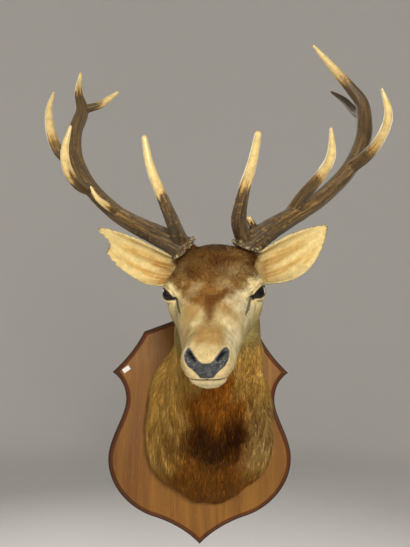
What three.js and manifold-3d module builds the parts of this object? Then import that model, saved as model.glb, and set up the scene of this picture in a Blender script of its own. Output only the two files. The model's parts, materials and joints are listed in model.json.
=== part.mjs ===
// Red deer stag: head and neck mounted on a shield-shaped oak board.
//
// Millimetres. +X is the viewer's right, +Y runs into the wall and +Z is up. The origin lies on the
// flat back of the board, on its centre line. Head, ears, eyes and antlers are built in the head's
// own frame, where x is the viewer's right, y runs back from the eyes to the poll and z is up from
// the line of the face; one group then turns and places them all.

import * as THREE from 'three';
import { mergeVertices } from 'three/addons/utils/BufferGeometryUtils.js';
import Module from 'manifold-3d';

const wasm = await Module();
wasm.setup();

// ------------------------------------------------------------------ driving dimensions

const GAP = 0.3;
const WELD = 0.001;
const SLIVER = 0.2;

// The shield, right half, from the peak down to the tip.
const BOARD = {
  thickness: 22,
  mould: { width: 8, depth: 8, steps: 2 },
  peak: [0, 266],
  shoulder: [130.6, 215.8],
  horn: [200.7, 123.5],
  waist: [168.4, 62],
  belly: [205, -66],
  foot: [100, -192],
  tip: [0, -250],
};

const LABEL = { at: [-169, 130], size: [17, 10], thickness: 0.4, turn: 35 };

// The steel hanging plate, let in flush with the back: a keyhole slot with shallow room behind it
// for the head of a wall screw, and two countersunk screws of its own.
const HANGER = {
  height: 150,
  size: [62, 26],
  thickness: 1.5,
  inset: 0.1,
  keyhole: { radius: 4.5, drop: 3, slot: [4.5, 9], rise: 4 },
  screwRoom: { radius: 9, depth: 4 },
};
const SCREW = { spacing: 44, shank: 2, head: 4, headThickness: 0.7, sunk: 0.25, length: 12 };

// How the head is carried: middle of the two eyes, nose-down angle, turn towards -X and lean.
const POSE = { eyes: [7, -335, 274], noseDown: 30, turn: 7.5, lean: 1.6 };

// Sections of the head from the nape (at negative) to the nose, measured along the face from the
// eyes: highest and lowest point, height of the widest point and half the width there.
const HEAD = [
  { at: -116, top: 34, bottom: -8, wide: 12, half: 26 },
  { at: -108, top: 52, bottom: -40, wide: 8, half: 52 },
  { at: -90, top: 64, bottom: -72, wide: 2, half: 67 },
  { at: -65, top: 67, bottom: -94, wide: -2, half: 76 },
  { at: -35, top: 61, bottom: -102, wide: 0, half: 84 },
  { at: 0, top: 47, bottom: -98, wide: 8, half: 88 },
  { at: 30, top: 37, bottom: -90, wide: 0, half: 76 },
  { at: 60, top: 29, bottom: -83, wide: -12, half: 65 },
  { at: 100, top: 21, bottom: -76, wide: -26, half: 54 },
  { at: 140, top: 15, bottom: -73, wide: -32, half: 46 },
  { at: 172, top: 11, bottom: -76, wide: -31, half: 42 },
  { at: 190, top: 7, bottom: -73, wide: -28, half: 41 },
  { at: 204, top: 2, bottom: -56, wide: -24, half: 36 },
  { at: 213, top: -4, bottom: -43, wide: -22, half: 28 },
  { at: 217, top: -12, bottom: -32, wide: -21, half: 13 },
];
const HEAD_MESH = { sides: 26, steps: 20 };
const HEAD_SQUARENESS = 2.25;

// Rises and hollows of the face, one side; the other side mirrors them.
const FACE_FORMS = [
  { name: 'brow', at: [86, 3, 25], reach: 24, rise: 7 },
  { name: 'eye hollow', at: [86, 15, 1], reach: 18, rise: -8 },
  { name: 'tear pit', at: [68, 48, 2], reach: 16, rise: -4 },
  { name: 'cheek', at: [82, -30, -52], reach: 40, rise: 4 },
  { name: 'lip', at: [42, 178, -30], reach: 20, rise: 3 },
  { name: 'nostril', at: [32, 205, -6], reach: 12, rise: 3 },
  { name: 'chin side', at: [40, 190, -58], reach: 19, rise: -9 },
];

// Sections of the neck from the board outwards, at a depth from the wall.
const NECK = [
  { at: 22.3, top: 182, bottom: -157, wide: 0, half: 137, shift: 18, square: 2.9 },
  { at: 60, top: 187, bottom: -155, wide: 0, half: 140, shift: 18, square: 2.7 },
  { at: 105, top: 216, bottom: -132, wide: 5, half: 132, shift: 18, square: 2.2 },
  { at: 150, top: 258, bottom: -90, wide: 20, half: 110, shift: 21, square: 2.05 },
  { at: 190, top: 294, bottom: -32, wide: 60, half: 99, shift: 23, square: 2.1 },
  { at: 225, top: 326, bottom: 40, wide: 115, half: 92, shift: 23, square: 2.2 },
  { at: 250, top: 344, bottom: 108, wide: 170, half: 84, shift: 21, square: 2.3 },
  { at: 270, top: 350, bottom: 160, wide: 215, half: 78, shift: 18, square: 2.3 },
  { at: 286, top: 338, bottom: 205, wide: 250, half: 54, shift: 15, square: 2.3 },
];
const NECK_MESH = { sides: 32, steps: 12 };
const THROAT_SQUARENESS = 2.15;

// The mane is scalloped where it meets the board: a nick either side of its lowest lock, measured
// round from straight down, that fades away from the wall.
const MANE_NICK = { angle: 30, spread: 12, depth: 16, fades: 70 };

// The parting between head and neck: a plane through a point at the nape and one at the throat.
const PARTING = { nape: [-232, 350], throat: [-268, 150] };

const EYE = { radius: 19, at: [72, 5, 4], opening: [20, 25, 15], openingAt: [89, 14, 4] };
const NOSE_PAD = { at: [0, 212, -16], reach: [34, 16, 23] };
const JAW = { mouth: -36, corner: 108, tilt: 4 };
const PEDICLE = { foot: [46, 64, 20], radius: 23, flare: 4 };

// Each ear: foot and tip in the head's frame, the way its cup faces, and its outline from foot to tip.
const EARS = {
  left: { foot: [-76, 62, 16], tip: [-224, 112, 94], facing: [-0.25, -0.86, 0.3], droop: 17 },
  right: { foot: [76, 62, 16], tip: [213, 138, 74], facing: [0.25, -0.86, 0.3], droop: 13 },
};
const EAR_OUTLINE = [
  { at: 0, half: 26, wrap: 95, thick: 9 },
  { at: 0.15, half: 34, wrap: 82, thick: 8 },
  { at: 0.35, half: 40, wrap: 62, thick: 7 },
  { at: 0.55, half: 39, wrap: 48, thick: 6 },
  { at: 0.75, half: 29, wrap: 38, thick: 5 },
  { at: 0.9, half: 16, wrap: 30, thick: 4.5 },
  { at: 1, half: 4, wrap: 20, thick: 4 },
];
const EAR_MESH = { along: 9, across: 6 };
const EAR_NICK = { along: 0.86, across: 0.85, size: [9, 7, 30] };

// Antlers. A beam runs from burr to top point and is parted at `splits` (shares of its length);
// `radii` are spread evenly along a branch from its root to its point.
const BURR = { radius: 28.5, height: 12 };
const ANTLERS = {
  left: {
    beam: {
      path: [[-59, 86, 58], [-96, 98, 74], [-135, 125, 84], [-178, 164, 92], [-216, 198, 106],
        [-274, 253, 147], [-307, 303, 197], [-313, 348, 244], [-302, 383, 282], [-312, 410, 317],
        [-312, 451, 360]],
      radii: [24, 20, 18, 17, 16.5, 16, 15.5, 15, 15, 9, 2.5],
      splits: [0.5, 0.82],
    },
    brow: { path: [[-60, 84, 64], [-74, 69, 118], [-92, 64, 179], [-105, 68, 222], [-113, 82, 273]],
      radii: [15, 12.5, 10, 8, 5] },
    bez: { path: [[-196, 180, 99], [-214, 160, 124], [-229, 145, 147], [-240, 149, 170]],
      radii: [10, 8, 5.5, 2.5] },
    trez: { path: [[-262, 240, 135], [-280, 204, 160], [-290, 183, 194], [-290, 180, 232], [-273, 190, 281]],
      radii: [13, 12, 10, 7.5, 2.5] },
    outer: { path: [[-298, 292, 184], [-334, 300, 200], [-356, 318, 230], [-370, 360, 288], [-361, 389, 326]],
      radii: [12, 12, 11, 7.5, 2.5] },
    crown: { path: [[-303, 384, 280], [-287, 390, 286], [-264, 396, 291], [-221, 416, 316]],
      radii: [10, 8.5, 7, 2.5] },
  },
  right: {
    beam: {
      path: [[59, 88, 57], [98, 118, 74], [139, 160, 84], [202, 220, 101], [235, 253, 117],
        [269, 281, 143], [295, 311, 173], [311, 342, 202], [316, 368, 229], [313, 396, 266],
        [291, 406, 296], [266, 412, 325], [208, 411, 390]],
      radii: [24, 20.5, 18.5, 17, 16.5, 16.5, 17, 17.5, 17, 14, 11, 8, 2.5],
      splits: [0.45, 0.76],
    },
    brow: { path: [[58, 86, 64], [47, 74, 112], [58, 63, 170], [73, 57, 215], [87, 49, 276]],
      radii: [16, 14, 11, 8.5, 5.5] },
    bez: { path: [[84, 112, 66], [72, 106, 90], [64, 98, 112]], radii: [10, 8, 4.5] },
    trez: { path: [[146, 182, 88], [170, 168, 128], [198, 149, 168], [217, 131, 210], [216, 131, 263]],
      radii: [14, 13, 11, 8.5, 2.5] },
    outer: { path: [[275, 286, 150], [305, 264, 180], [326, 238, 220], [334, 219, 266], [319, 222, 316]],
      radii: [14, 12.5, 10, 8, 2.5] },
    crown: { path: [[315, 376, 240], [302, 420, 246], [284, 462, 266], [257, 491, 283]],
      radii: [11, 9.5, 7.5, 2.5] },
  },
};
const BEAM_MESH = { sides: 10, steps: 26 };
const TINE_MESH = { sides: 8, steps: 8 };
const FRAMES = 240;
const ROUND_POINT = 0.98;

// ------------------------------------------------------------------ materials

const finish = (colour, roughness, metalness = 0) => (
  new THREE.MeshStandardMaterial({ color: colour, roughness, metalness })
);
const FINISH = {
  coat: () => finish(0xa68a58, 0.9),
  neckCoat: () => finish(0x8a6a38, 0.92),
  earCoat: () => finish(0xd9c48c, 0.9),
  nose: () => finish(0x4b4d52, 0.5),
  eye: () => finish(0x120c08, 0.08),
  antler: () => finish(0x6d5334, 0.55),
  ivory: () => finish(0xd8c38c, 0.4),
  oak: () => finish(0x9a6a3c, 0.5),
  paper: () => finish(0xf0efe8, 0.8),
  steel: () => finish(0x9a9a98, 0.4, 1),
};

// ------------------------------------------------------------------ solids, cuts and profiles

function signedVolume(geometry) {
  const place = geometry.attributes.position;
  const corner = [new THREE.Vector3(), new THREE.Vector3(), new THREE.Vector3()];
  let sum = 0;
  for (let i = 0; i < geometry.index.count; i += 3) {
    corner.forEach((point, k) => point.fromBufferAttribute(place, geometry.index.getX(i + k)));
    sum += corner[0].dot(corner[1].clone().cross(corner[2])) / 6;
  }
  return sum;
}

// A closed geometry as a solid, with its faces turned outwards.
function solid(geometry) {
  const bare = geometry.clone();
  bare.deleteAttribute('normal');
  bare.deleteAttribute('uv');
  const welded = mergeVertices(bare, WELD);
  const triVerts = new Uint32Array(welded.index.array);
  if (signedVolume(welded) < 0) {
    for (let i = 0; i < triVerts.length; i += 3) {
      [triVerts[i], triVerts[i + 1]] = [triVerts[i + 1], triVerts[i]];
    }
  }
  const vertProperties = new Float32Array(welded.attributes.position.array);
  return new wasm.Manifold(new wasm.Mesh({ numProp: 3, vertProperties, triVerts }));
}

function geometryOf(body) {
  const mesh = body.simplify(SLIVER).getMesh();
  const geometry = new THREE.BufferGeometry();
  geometry.setAttribute('position', new THREE.BufferAttribute(new Float32Array(mesh.vertProperties), 3));
  geometry.setIndex(new THREE.BufferAttribute(new Uint32Array(mesh.triVerts), 1));
  geometry.computeVertexNormals();
  return geometry;
}

function node(name, body, material) {
  const mesh = new THREE.Mesh(geometryOf(body), material);
  mesh.name = name;
  return mesh;
}

// A smooth value between rows that each state where they are (`at`) and a value under `key`.
function profile(rows, key) {
  const slope = (i) => {
    const before = rows[Math.max(i - 1, 0)];
    const after = rows[Math.min(i + 1, rows.length - 1)];
    return (after[key] - before[key]) / (after.at - before.at);
  };
  return (at) => {
    let i = 0;
    while (i < rows.length - 2 && at > rows[i + 1].at) {
      i += 1;
    }
    const span = rows[i + 1].at - rows[i].at;
    const s = THREE.MathUtils.clamp((at - rows[i].at) / span, 0, 1);
    const start = rows[i][key] * (1 + 2 * s) * (1 - s) ** 2;
    const end = rows[i + 1][key] * s * s * (3 - 2 * s);
    const bend = slope(i) * s * (1 - s) ** 2 - slope(i + 1) * s * s * (1 - s);
    return start + end + bend * span;
  };
}

// A closed loft with flat ends: pointAt(t, angle, reach) places each vertex, where t runs from 0
// to 1 along the body, and reach is 1 on its surface and 0 at the middle of an end.
function loft({ sides, steps }, pointAt) {
  const body = new THREE.CylinderGeometry(1, 1, 1, sides, steps);
  const place = body.attributes.position;
  for (let i = 0; i < place.count; i += 1) {
    const t = place.getY(i) + 0.5;
    const reach = Math.hypot(place.getX(i), place.getZ(i));
    const angle = Math.atan2(place.getX(i), place.getZ(i));
    const point = pointAt(t, angle, reach);
    place.setXYZ(i, point.x, point.y, point.z);
  }
  return body;
}

const squared = (value, power) => Math.sign(value) * Math.abs(value) ** power;

// An egg-shaped section through rows of top, bottom, wide and half: sideways and up at an angle
// that starts at the top. A squareness of 2 gives round shoulders and more gives fuller ones.
function eggSection(rows, upperSquareness, lowerSquareness) {
  const top = profile(rows, 'top');
  const bottom = profile(rows, 'bottom');
  const wide = profile(rows, 'wide');
  const half = profile(rows, 'half');
  return (at, angle, reach, grow = 0) => {
    const above = Math.cos(angle) > 0;
    const power = 2 / (above ? upperSquareness(at) : lowerSquareness);
    const sideways = squared(Math.sin(angle), power);
    const upright = squared(Math.cos(angle), power);
    const tall = above ? top(at) - wide(at) : wide(at) - bottom(at);
    return {
      across: reach * sideways * (half(at) + grow),
      up: wide(at) + reach * upright * (tall + grow),
      level: wide(at),
    };
  };
}

// ------------------------------------------------------------------ board

function shieldOutline() {
  const shape = new THREE.Shape();
  const half = (side) => {
    const at = ([x, z]) => [side * x, z];
    const curve = (...points) => shape.bezierCurveTo(...points.flatMap(at));
    const bow = (...points) => shape.quadraticCurveTo(...points.flatMap(at));
    return { curve, bow };
  };
  const right = half(1);
  const left = half(-1);
  shape.moveTo(...BOARD.peak);
  right.bow([70, 238], BOARD.shoulder);
  right.bow([155, 166], BOARD.horn);
  right.curve([182, 112], [168.4, 90], BOARD.waist);
  right.curve([168.4, 25], [205, -20], BOARD.belly);
  right.curve([205, -130], [150, -178], BOARD.foot);
  right.bow([38, -212], BOARD.tip);
  left.bow([38, -212], BOARD.foot);
  left.curve([150, -178], [205, -130], BOARD.belly);
  left.curve([205, -20], [168.4, 25], BOARD.waist);
  left.curve([168.4, 90], [182, 112], BOARD.horn);
  left.bow([155, 166], BOARD.shoulder);
  left.bow([70, 238], BOARD.peak);
  return shape;
}

// Stands a flat outline up against the wall: its face looks to -Y.
const STAND_UP = new THREE.Matrix4().makeRotationX(Math.PI / 2);

function block(width, depth, height, x, y, z) {
  return solid(new THREE.BoxGeometry(width, depth, height).translate(x, y, z));
}

function boardBody() {
  const { width, depth, steps } = BOARD.mould;
  const plank = new THREE.ExtrudeGeometry(shieldOutline(), {
    depth: BOARD.thickness - depth,
    bevelThickness: depth,
    bevelSize: width,
    bevelOffset: -width,
    bevelSegments: steps,
    curveSegments: 5,
  });
  plank.applyMatrix4(STAND_UP);
  const behindWall = block(900, 60, 900, 0, 30, 0);
  return solid(plank).subtract(behindWall);
}

function hangerPlate(grow) {
  const [width, depth] = HANGER.size;
  const end = depth / 2 + grow;
  const reach = width / 2 - depth / 2;
  const outline = new THREE.Shape();
  outline.absarc(reach, 0, end, -Math.PI / 2, Math.PI / 2, false);
  outline.absarc(-reach, 0, end, Math.PI / 2, Math.PI * 1.5, false);
  const flat = new THREE.ExtrudeGeometry(outline, {
    depth: HANGER.thickness + 2 * grow,
    bevelEnabled: false,
    curveSegments: 5,
  });
  flat.applyMatrix4(STAND_UP);
  return solid(flat.translate(0, grow, HANGER.height));
}

// A round pin along Y whose back end lies `back` in front of the wall.
function pin(radius, length, x, z, back = 0) {
  const round = new THREE.CylinderGeometry(radius, radius, length, 12);
  return solid(round.translate(x, -back - length / 2, z));
}

function labelBody() {
  const { at, size, thickness, turn } = LABEL;
  const paper = new THREE.BoxGeometry(size[0], thickness, size[1]);
  paper.rotateY(-THREE.MathUtils.degToRad(turn));
  return solid(paper.translate(at[0], -BOARD.thickness - GAP - thickness / 2, at[1]));
}

function boardGroup() {
  const group = new THREE.Group();
  const { height, thickness, inset, keyhole, screwRoom } = HANGER;
  const [slotWidth, slotHeight] = keyhole.slot;
  const slot = block(slotWidth, 4 * thickness, slotHeight, 0, 0, height + keyhole.rise);
  const round = pin(keyhole.radius, 2 * thickness, 0, height - keyhole.drop);
  let plate = hangerPlate(0).translate([0, -inset, 0]).subtract(slot).subtract(round.translate([0, GAP, 0]));
  let plank = boardBody().subtract(hangerPlate(GAP));
  plank = plank.subtract(pin(screwRoom.radius, screwRoom.depth, 0, height));
  [-1, 1].forEach((side, i) => {
    const x = side * SCREW.spacing / 2;
    const shank = pin(SCREW.shank, SCREW.length, x, height, SCREW.sunk);
    const head = pin(SCREW.head, SCREW.headThickness, x, height, SCREW.sunk);
    group.add(node(`hanger_screw_${i + 1}`, shank.add(head), FINISH.steel()));
    const shankRoom = pin(SCREW.shank + GAP, SCREW.length + 2 * GAP, x, height, -GAP);
    const headRoom = pin(SCREW.head + GAP, SCREW.sunk + SCREW.headThickness + 2 * GAP, x, height, -GAP);
    const drilled = shankRoom.add(headRoom);
    plate = plate.subtract(drilled);
    plank = plank.subtract(drilled);
  });
  group.add(node('board', plank, FINISH.oak()));
  group.add(node('hanger_plate', plate, FINISH.steel()));
  group.add(node('blank_label', labelBody(), FINISH.paper()));
  return group;
}

// ------------------------------------------------------------------ head and neck

const headGroup = new THREE.Group();
headGroup.position.set(...POSE.eyes);
headGroup.rotation.set(
  THREE.MathUtils.degToRad(POSE.noseDown),
  -THREE.MathUtils.degToRad(POSE.lean),
  -THREE.MathUtils.degToRad(POSE.turn),
  'ZXY',
);
headGroup.updateMatrixWorld(true);
const INTO_HEAD = headGroup.matrixWorld.clone().invert();

// A place in the head's frame, from the viewer's right, forward along the face, and up.
const faceAt = (right, forward, up) => new THREE.Vector3(right, -forward, up);
const vector = (numbers) => new THREE.Vector3(...numbers);

function faceForms(point, level) {
  const out = new THREE.Vector3(point.x, 0, point.z - level).normalize();
  FACE_FORMS.forEach((form) => {
    [-1, 1].forEach((side) => {
      const centre = faceAt(side * form.at[0], form.at[1], form.at[2]);
      const near = Math.exp(-((point.distanceTo(centre) / form.reach) ** 2));
      point.addScaledVector(out, form.rise * near);
    });
  });
  return point;
}

function skull(grow = 0) {
  const section = eggSection(HEAD, () => HEAD_SQUARENESS, HEAD_SQUARENESS);
  const back = HEAD[0].at;
  const nose = HEAD[HEAD.length - 1].at;
  const geometry = loft(HEAD_MESH, (t, angle, reach) => {
    const share = (1 - Math.cos(Math.PI * t)) / 2;
    const at = back + (nose - back) * share;
    const { across, up, level } = section(at, angle, reach, grow);
    const along = at + grow * (2 * share - 1);
    return faceForms(faceAt(across, along, up), level);
  });
  let body = solid(geometry);
  Object.keys(ANTLERS).forEach((side) => {
    body = body.add(pedicle(side, grow));
  });
  return body;
}

// The antler's root points along the beam's first stretch and the brow tine's, half and half.
function antlerRoot(side) {
  const { beam, brow } = ANTLERS[side];
  const foot = vector(beam.path[0]);
  const beamWay = vector(beam.path[1]).sub(foot).normalize();
  const browWay = vector(brow.path[1]).sub(vector(brow.path[0])).normalize();
  return { foot, way: beamWay.add(browWay).normalize() };
}

function pedicle(side, grow) {
  const { foot, way } = antlerRoot(side);
  const mirror = side === 'left' ? -1 : 1;
  const start = vector(PEDICLE.foot).multiply(new THREE.Vector3(mirror, 1, 1));
  const end = foot.clone().addScaledVector(way, -BURR.height / 2 + grow);
  const aside = new THREE.Vector3(0, 1, 0).cross(way).normalize();
  const upward = way.clone().cross(aside);
  return solid(loft({ sides: 16, steps: 3 }, (t, angle, reach) => {
    const radius = (PEDICLE.radius + PEDICLE.flare * (1 - t) + grow) * reach;
    return start.clone().lerp(end, t)
      .addScaledVector(aside, radius * Math.sin(angle))
      .addScaledVector(upward, radius * Math.cos(angle));
  }));
}

function maneNick(at, across, up) {
  const round = THREE.MathUtils.radToDeg(Math.atan2(Math.abs(across), -up));
  const near = Math.exp(-(((round - MANE_NICK.angle) / MANE_NICK.spread) ** 2));
  const fade = Math.exp(-(((at - BOARD.thickness) / MANE_NICK.fades) ** 2));
  return 1 - MANE_NICK.depth * near * fade / Math.hypot(across, up, 1);
}

function neckBody() {
  const section = eggSection(NECK, profile(NECK, 'square'), THROAT_SQUARENESS);
  const shift = profile(NECK, 'shift');
  const wall = NECK[0].at;
  const end = NECK[NECK.length - 1].at;
  const geometry = loft(NECK_MESH, (t, angle, reach) => {
    const at = wall + (end - wall) * t;
    const { across, up } = section(at, angle, reach);
    const nick = maneNick(at, across, up);
    return new THREE.Vector3(shift(at) + across * nick, -at, up * nick);
  });
  return solid(geometry.applyMatrix4(INTO_HEAD));
}

function ellipsoid(centre, radii, grow = 0) {
  const ball = new THREE.SphereGeometry(1, 12, 8);
  ball.scale(radii[0] + grow, radii[1] + grow, radii[2] + grow);
  return solid(ball.translate(centre.x, centre.y, centre.z));
}

function eyeball(side, grow = 0) {
  const [right, forward, up] = EYE.at;
  const { radius } = EYE;
  return ellipsoid(faceAt(side * right, forward, up), [radius, radius, radius], grow);
}

function orbit(side) {
  const [right, forward, up] = EYE.openingAt;
  return ellipsoid(faceAt(side * right, forward, up), EYE.opening).add(eyeball(side, GAP));
}

function jawBlock(grow) {
  const box = new THREE.BoxGeometry(160, 160, 80);
  box.rotateX(THREE.MathUtils.degToRad(JAW.tilt));
  const middle = faceAt(0, JAW.corner + 80 - grow, JAW.mouth - 40 + grow);
  return solid(box.translate(middle.x, middle.y, middle.z));
}

// The two sides of the parting plane, in the head's frame, as a direction and an offset.
function partingPlane() {
  const nape = new THREE.Vector3(0, ...PARTING.nape);
  const throat = new THREE.Vector3(0, ...PARTING.throat);
  const down = throat.clone().sub(nape);
  const out = new THREE.Vector3(1, 0, 0).cross(down).normalize();
  const plane = new THREE.Plane().setFromNormalAndCoplanarPoint(out, nape);
  plane.applyMatrix4(INTO_HEAD);
  const towardsNose = plane.normal.y < 0 ? plane : plane.negate();
  return { way: towardsNose.normal.toArray(), offset: -towardsNose.constant };
}

function trimmed(body, { way, offset }, side) {
  return body.trimByPlane(way.map((share) => share * side), offset * side + GAP / 2);
}

function fleshGroup() {
  const plane = partingPlane();
  const whole = skull().add(neckBody());
  let head = trimmed(whole, plane, 1);
  const neck = trimmed(whole, plane, -1);
  const pad = ellipsoid(faceAt(...NOSE_PAD.at), NOSE_PAD.reach);
  const padRoom = ellipsoid(faceAt(...NOSE_PAD.at), NOSE_PAD.reach, GAP);
  headGroup.add(node('nose_pad', head.intersect(pad).subtract(jawBlock(GAP)), FINISH.nose()));
  head = head.subtract(padRoom.subtract(jawBlock(0)));
  headGroup.add(node('lower_jaw', head.intersect(jawBlock(0)), FINISH.coat()));
  head = head.subtract(jawBlock(GAP));
  [['left', -1], ['right', 1]].forEach(([name, side]) => {
    head = head.subtract(orbit(side));
    headGroup.add(node(`eye_${name}`, eyeball(side), FINISH.eye()));
  });
  headGroup.add(node('head', head, FINISH.coat()));
  const onBoard = node('neck', neck, FINISH.neckCoat());
  onBoard.geometry.applyMatrix4(headGroup.matrixWorld);
  return onBoard;
}

// ------------------------------------------------------------------ ears

// A cupped leaf: each cross-section is an arc of a circle that spreads from foot to tip.
function earBody(side) {
  const { foot, tip, facing, droop } = EARS[side];
  const start = vector(foot);
  const along = vector(tip).sub(start);
  const way = along.clone().normalize();
  const aside = vector(facing).cross(way).normalize();
  const upward = aside.z > 0 ? aside : aside.negate();
  const forward = vector(facing);
  const open = forward.addScaledVector(way, -forward.dot(way)).normalize();
  const half = profile(EAR_OUTLINE, 'half');
  const wrap = profile(EAR_OUTLINE, 'wrap');
  const thick = profile(EAR_OUTLINE, 'thick');
  const leafPoint = (share, sideways, skin) => {
    const spread = THREE.MathUtils.degToRad(wrap(share));
    const radius = half(share) / Math.sin(Math.min(spread, Math.PI / 2));
    const angle = sideways * spread;
    const thinning = thick(share) * (1 - 0.45 * sideways ** 2);
    const shell = radius + skin * thinning;
    const sag = droop * 4 * share * (1 - share);
    return start.clone().addScaledVector(along, share)
      .addScaledVector(upward, shell * Math.sin(angle) - sag)
      .addScaledVector(open, radius * Math.cos(spread) - shell * Math.cos(angle));
  };
  const leaf = new THREE.BoxGeometry(2, 1, 1, EAR_MESH.across, 1, EAR_MESH.along);
  const place = leaf.attributes.position;
  for (let i = 0; i < place.count; i += 1) {
    const point = leafPoint(place.getZ(i) + 0.5, place.getX(i), place.getY(i));
    place.setXYZ(i, point.x, point.y, point.z);
  }
  let body = solid(leaf);
  if (side === 'left') {
    body = body.subtract(ellipsoid(leafPoint(EAR_NICK.along, -EAR_NICK.across, 0), EAR_NICK.size));
  }
  return body;
}

// ------------------------------------------------------------------ antlers

const curveOf = (branch) => new THREE.CatmullRomCurve3(branch.path.map(vector), false, 'centripetal');

// A tapering branch along its curve, with a rounded point.
function branchBody(branch, mesh, grow = 0) {
  const curve = curveOf(branch);
  const frames = curve.computeFrenetFrames(FRAMES);
  const rows = branch.radii.map((radius, i) => ({ at: i / (branch.radii.length - 1), radius }));
  const radiusAt = profile(rows, 'radius');
  const length = curve.getLength();
  return solid(loft(mesh, (t, angle, reach) => {
    const share = Math.sin(t * Math.PI / 2);
    const fromPoint = Math.min((1 - share) * length / branch.radii.at(-1), 1);
    const rounding = Math.sqrt(1 - ROUND_POINT * (1 - fromPoint) ** 2);
    const radius = (radiusAt(share) * rounding + grow) * reach;
    const index = Math.round(share * FRAMES);
    return curve.getPointAt(share)
      .addScaledVector(frames.normals[index], radius * Math.cos(angle))
      .addScaledVector(frames.binormals[index], radius * Math.sin(angle));
  }));
}

// The plane square across a branch at a share of its length.
function planeAcross(branch, share) {
  const curve = curveOf(branch);
  const way = curve.getTangentAt(share);
  return { way: way.toArray(), offset: way.dot(curve.getPointAt(share)) };
}

// The burr: a low ring of rounded section round the foot of the antler.
function burr(side, grow = 0) {
  const { radius, height } = BURR;
  const rim = [[0, -0.5], [0.8, -0.5], [0.97, -0.25], [1, 0.1], [0.88, 0.45], [0, 0.5]];
  const outline = rim.map(([out, up]) => (
    new THREE.Vector2(out * (radius + grow), up * (height + 2 * grow))
  ));
  const ring = new THREE.LatheGeometry(outline, 16);
  const { foot, way } = antlerRoot(side);
  const turn = new THREE.Quaternion().setFromUnitVectors(new THREE.Vector3(0, 1, 0), way);
  ring.applyQuaternion(turn);
  return solid(ring.translate(foot.x, foot.y, foot.z));
}

// The room that a beam and its burr take up, with the gap round them.
function antlerRoom(side) {
  return branchBody(ANTLERS[side].beam, BEAM_MESH, GAP).add(burr(side, GAP));
}

function antlerNodes(side, headRoom) {
  const { beam, ...tines } = ANTLERS[side];
  const [lowerFork, upperFork] = beam.splits.map((share) => planeAcross(beam, share));
  const whole = branchBody(beam, BEAM_MESH).add(burr(side)).subtract(headRoom);
  const aboveFork = trimmed(whole, lowerFork, 1);
  const name = (part) => `antler_${side}_${part}`;
  headGroup.add(node(name('lower_beam'), trimmed(whole, lowerFork, -1), FINISH.antler()));
  headGroup.add(node(name('upper_beam'), trimmed(aboveFork, upperFork, -1), FINISH.antler()));
  headGroup.add(node(name('top_tine'), trimmed(aboveFork, upperFork, 1), FINISH.ivory()));
  let taken = antlerRoom(side).add(headRoom);
  Object.entries(tines).forEach(([part, tine]) => {
    const body = branchBody(tine, TINE_MESH).subtract(taken);
    headGroup.add(node(name(`${part}_tine`), body, FINISH.ivory()));
    taken = taken.add(branchBody(tine, TINE_MESH, GAP));
  });
}

// ------------------------------------------------------------------ the mount

const mount = new THREE.Group();
const neckNode = fleshGroup();
const headRoom = skull(GAP);
Object.keys(ANTLERS).forEach((side) => {
  const ear = earBody(side).subtract(headRoom).subtract(antlerRoom(side));
  headGroup.add(node(`ear_${side}`, ear, FINISH.earCoat()));
  antlerNodes(side, headRoom);
});
mount.add(boardGroup(), neckNode, headGroup);

export default mount;
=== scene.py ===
# Red deer stag: head and neck mounted on a shield-shaped oak board.
#
# Sizes are millimetres until a mesh is made. The head is worked in its own frame: x is the viewer's
# right, y runs back from between the eyes to the poll and z is up from the line of the face.
import json
import math

import bpy
import numpy as np
from mathutils import Matrix, Vector
from mathutils.bvhtree import BVHTree

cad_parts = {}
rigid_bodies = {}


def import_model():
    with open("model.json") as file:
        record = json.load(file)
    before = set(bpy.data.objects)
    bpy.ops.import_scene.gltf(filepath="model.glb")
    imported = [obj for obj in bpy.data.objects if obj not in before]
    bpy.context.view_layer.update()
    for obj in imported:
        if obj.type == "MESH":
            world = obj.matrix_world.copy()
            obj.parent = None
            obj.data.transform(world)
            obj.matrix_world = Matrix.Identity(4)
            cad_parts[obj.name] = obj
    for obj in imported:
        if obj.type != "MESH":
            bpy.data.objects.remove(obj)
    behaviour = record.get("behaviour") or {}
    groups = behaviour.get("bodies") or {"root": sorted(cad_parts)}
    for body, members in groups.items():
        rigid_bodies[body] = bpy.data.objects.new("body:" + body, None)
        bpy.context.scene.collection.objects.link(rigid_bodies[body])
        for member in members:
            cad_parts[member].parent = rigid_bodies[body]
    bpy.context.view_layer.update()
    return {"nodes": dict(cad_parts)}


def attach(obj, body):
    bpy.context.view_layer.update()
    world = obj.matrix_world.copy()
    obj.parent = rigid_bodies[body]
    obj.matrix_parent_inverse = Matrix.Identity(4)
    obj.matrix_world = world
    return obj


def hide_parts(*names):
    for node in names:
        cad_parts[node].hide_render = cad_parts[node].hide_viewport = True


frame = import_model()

MM = 0.001
SEED = 41
# The point between the eyes in the mount's frame, and the degrees that the head is turned.
EYES_AT = np.array([7.0, -335.0, 274.0])
NOSE_DOWN, TURN, LEAN = 30.0, 7.5, 1.6

# ---------------------------------------------------------------- camera, stage and lights

# Place in metres, degrees that the camera is turned, and a lens as long as FOCAL rows of a picture that
# is FRAME_TALL rows tall.
CAMERA_AT = (-0.0652, -1.3994, 0.1808)
CAMERA_YAW, CAMERA_PITCH, CAMERA_ROLL = 3.0, 7.0, 0.44
FRAME_TALL, FOCAL = 547, 600
SENSOR, NEAREST, FARTHEST = 36.0, 0.05, 60.0


def placed(name, data):
    """A new object in the scene, at its origin."""
    thing = bpy.data.objects.new(name, data)
    bpy.context.scene.collection.objects.link(thing)
    return thing


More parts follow.
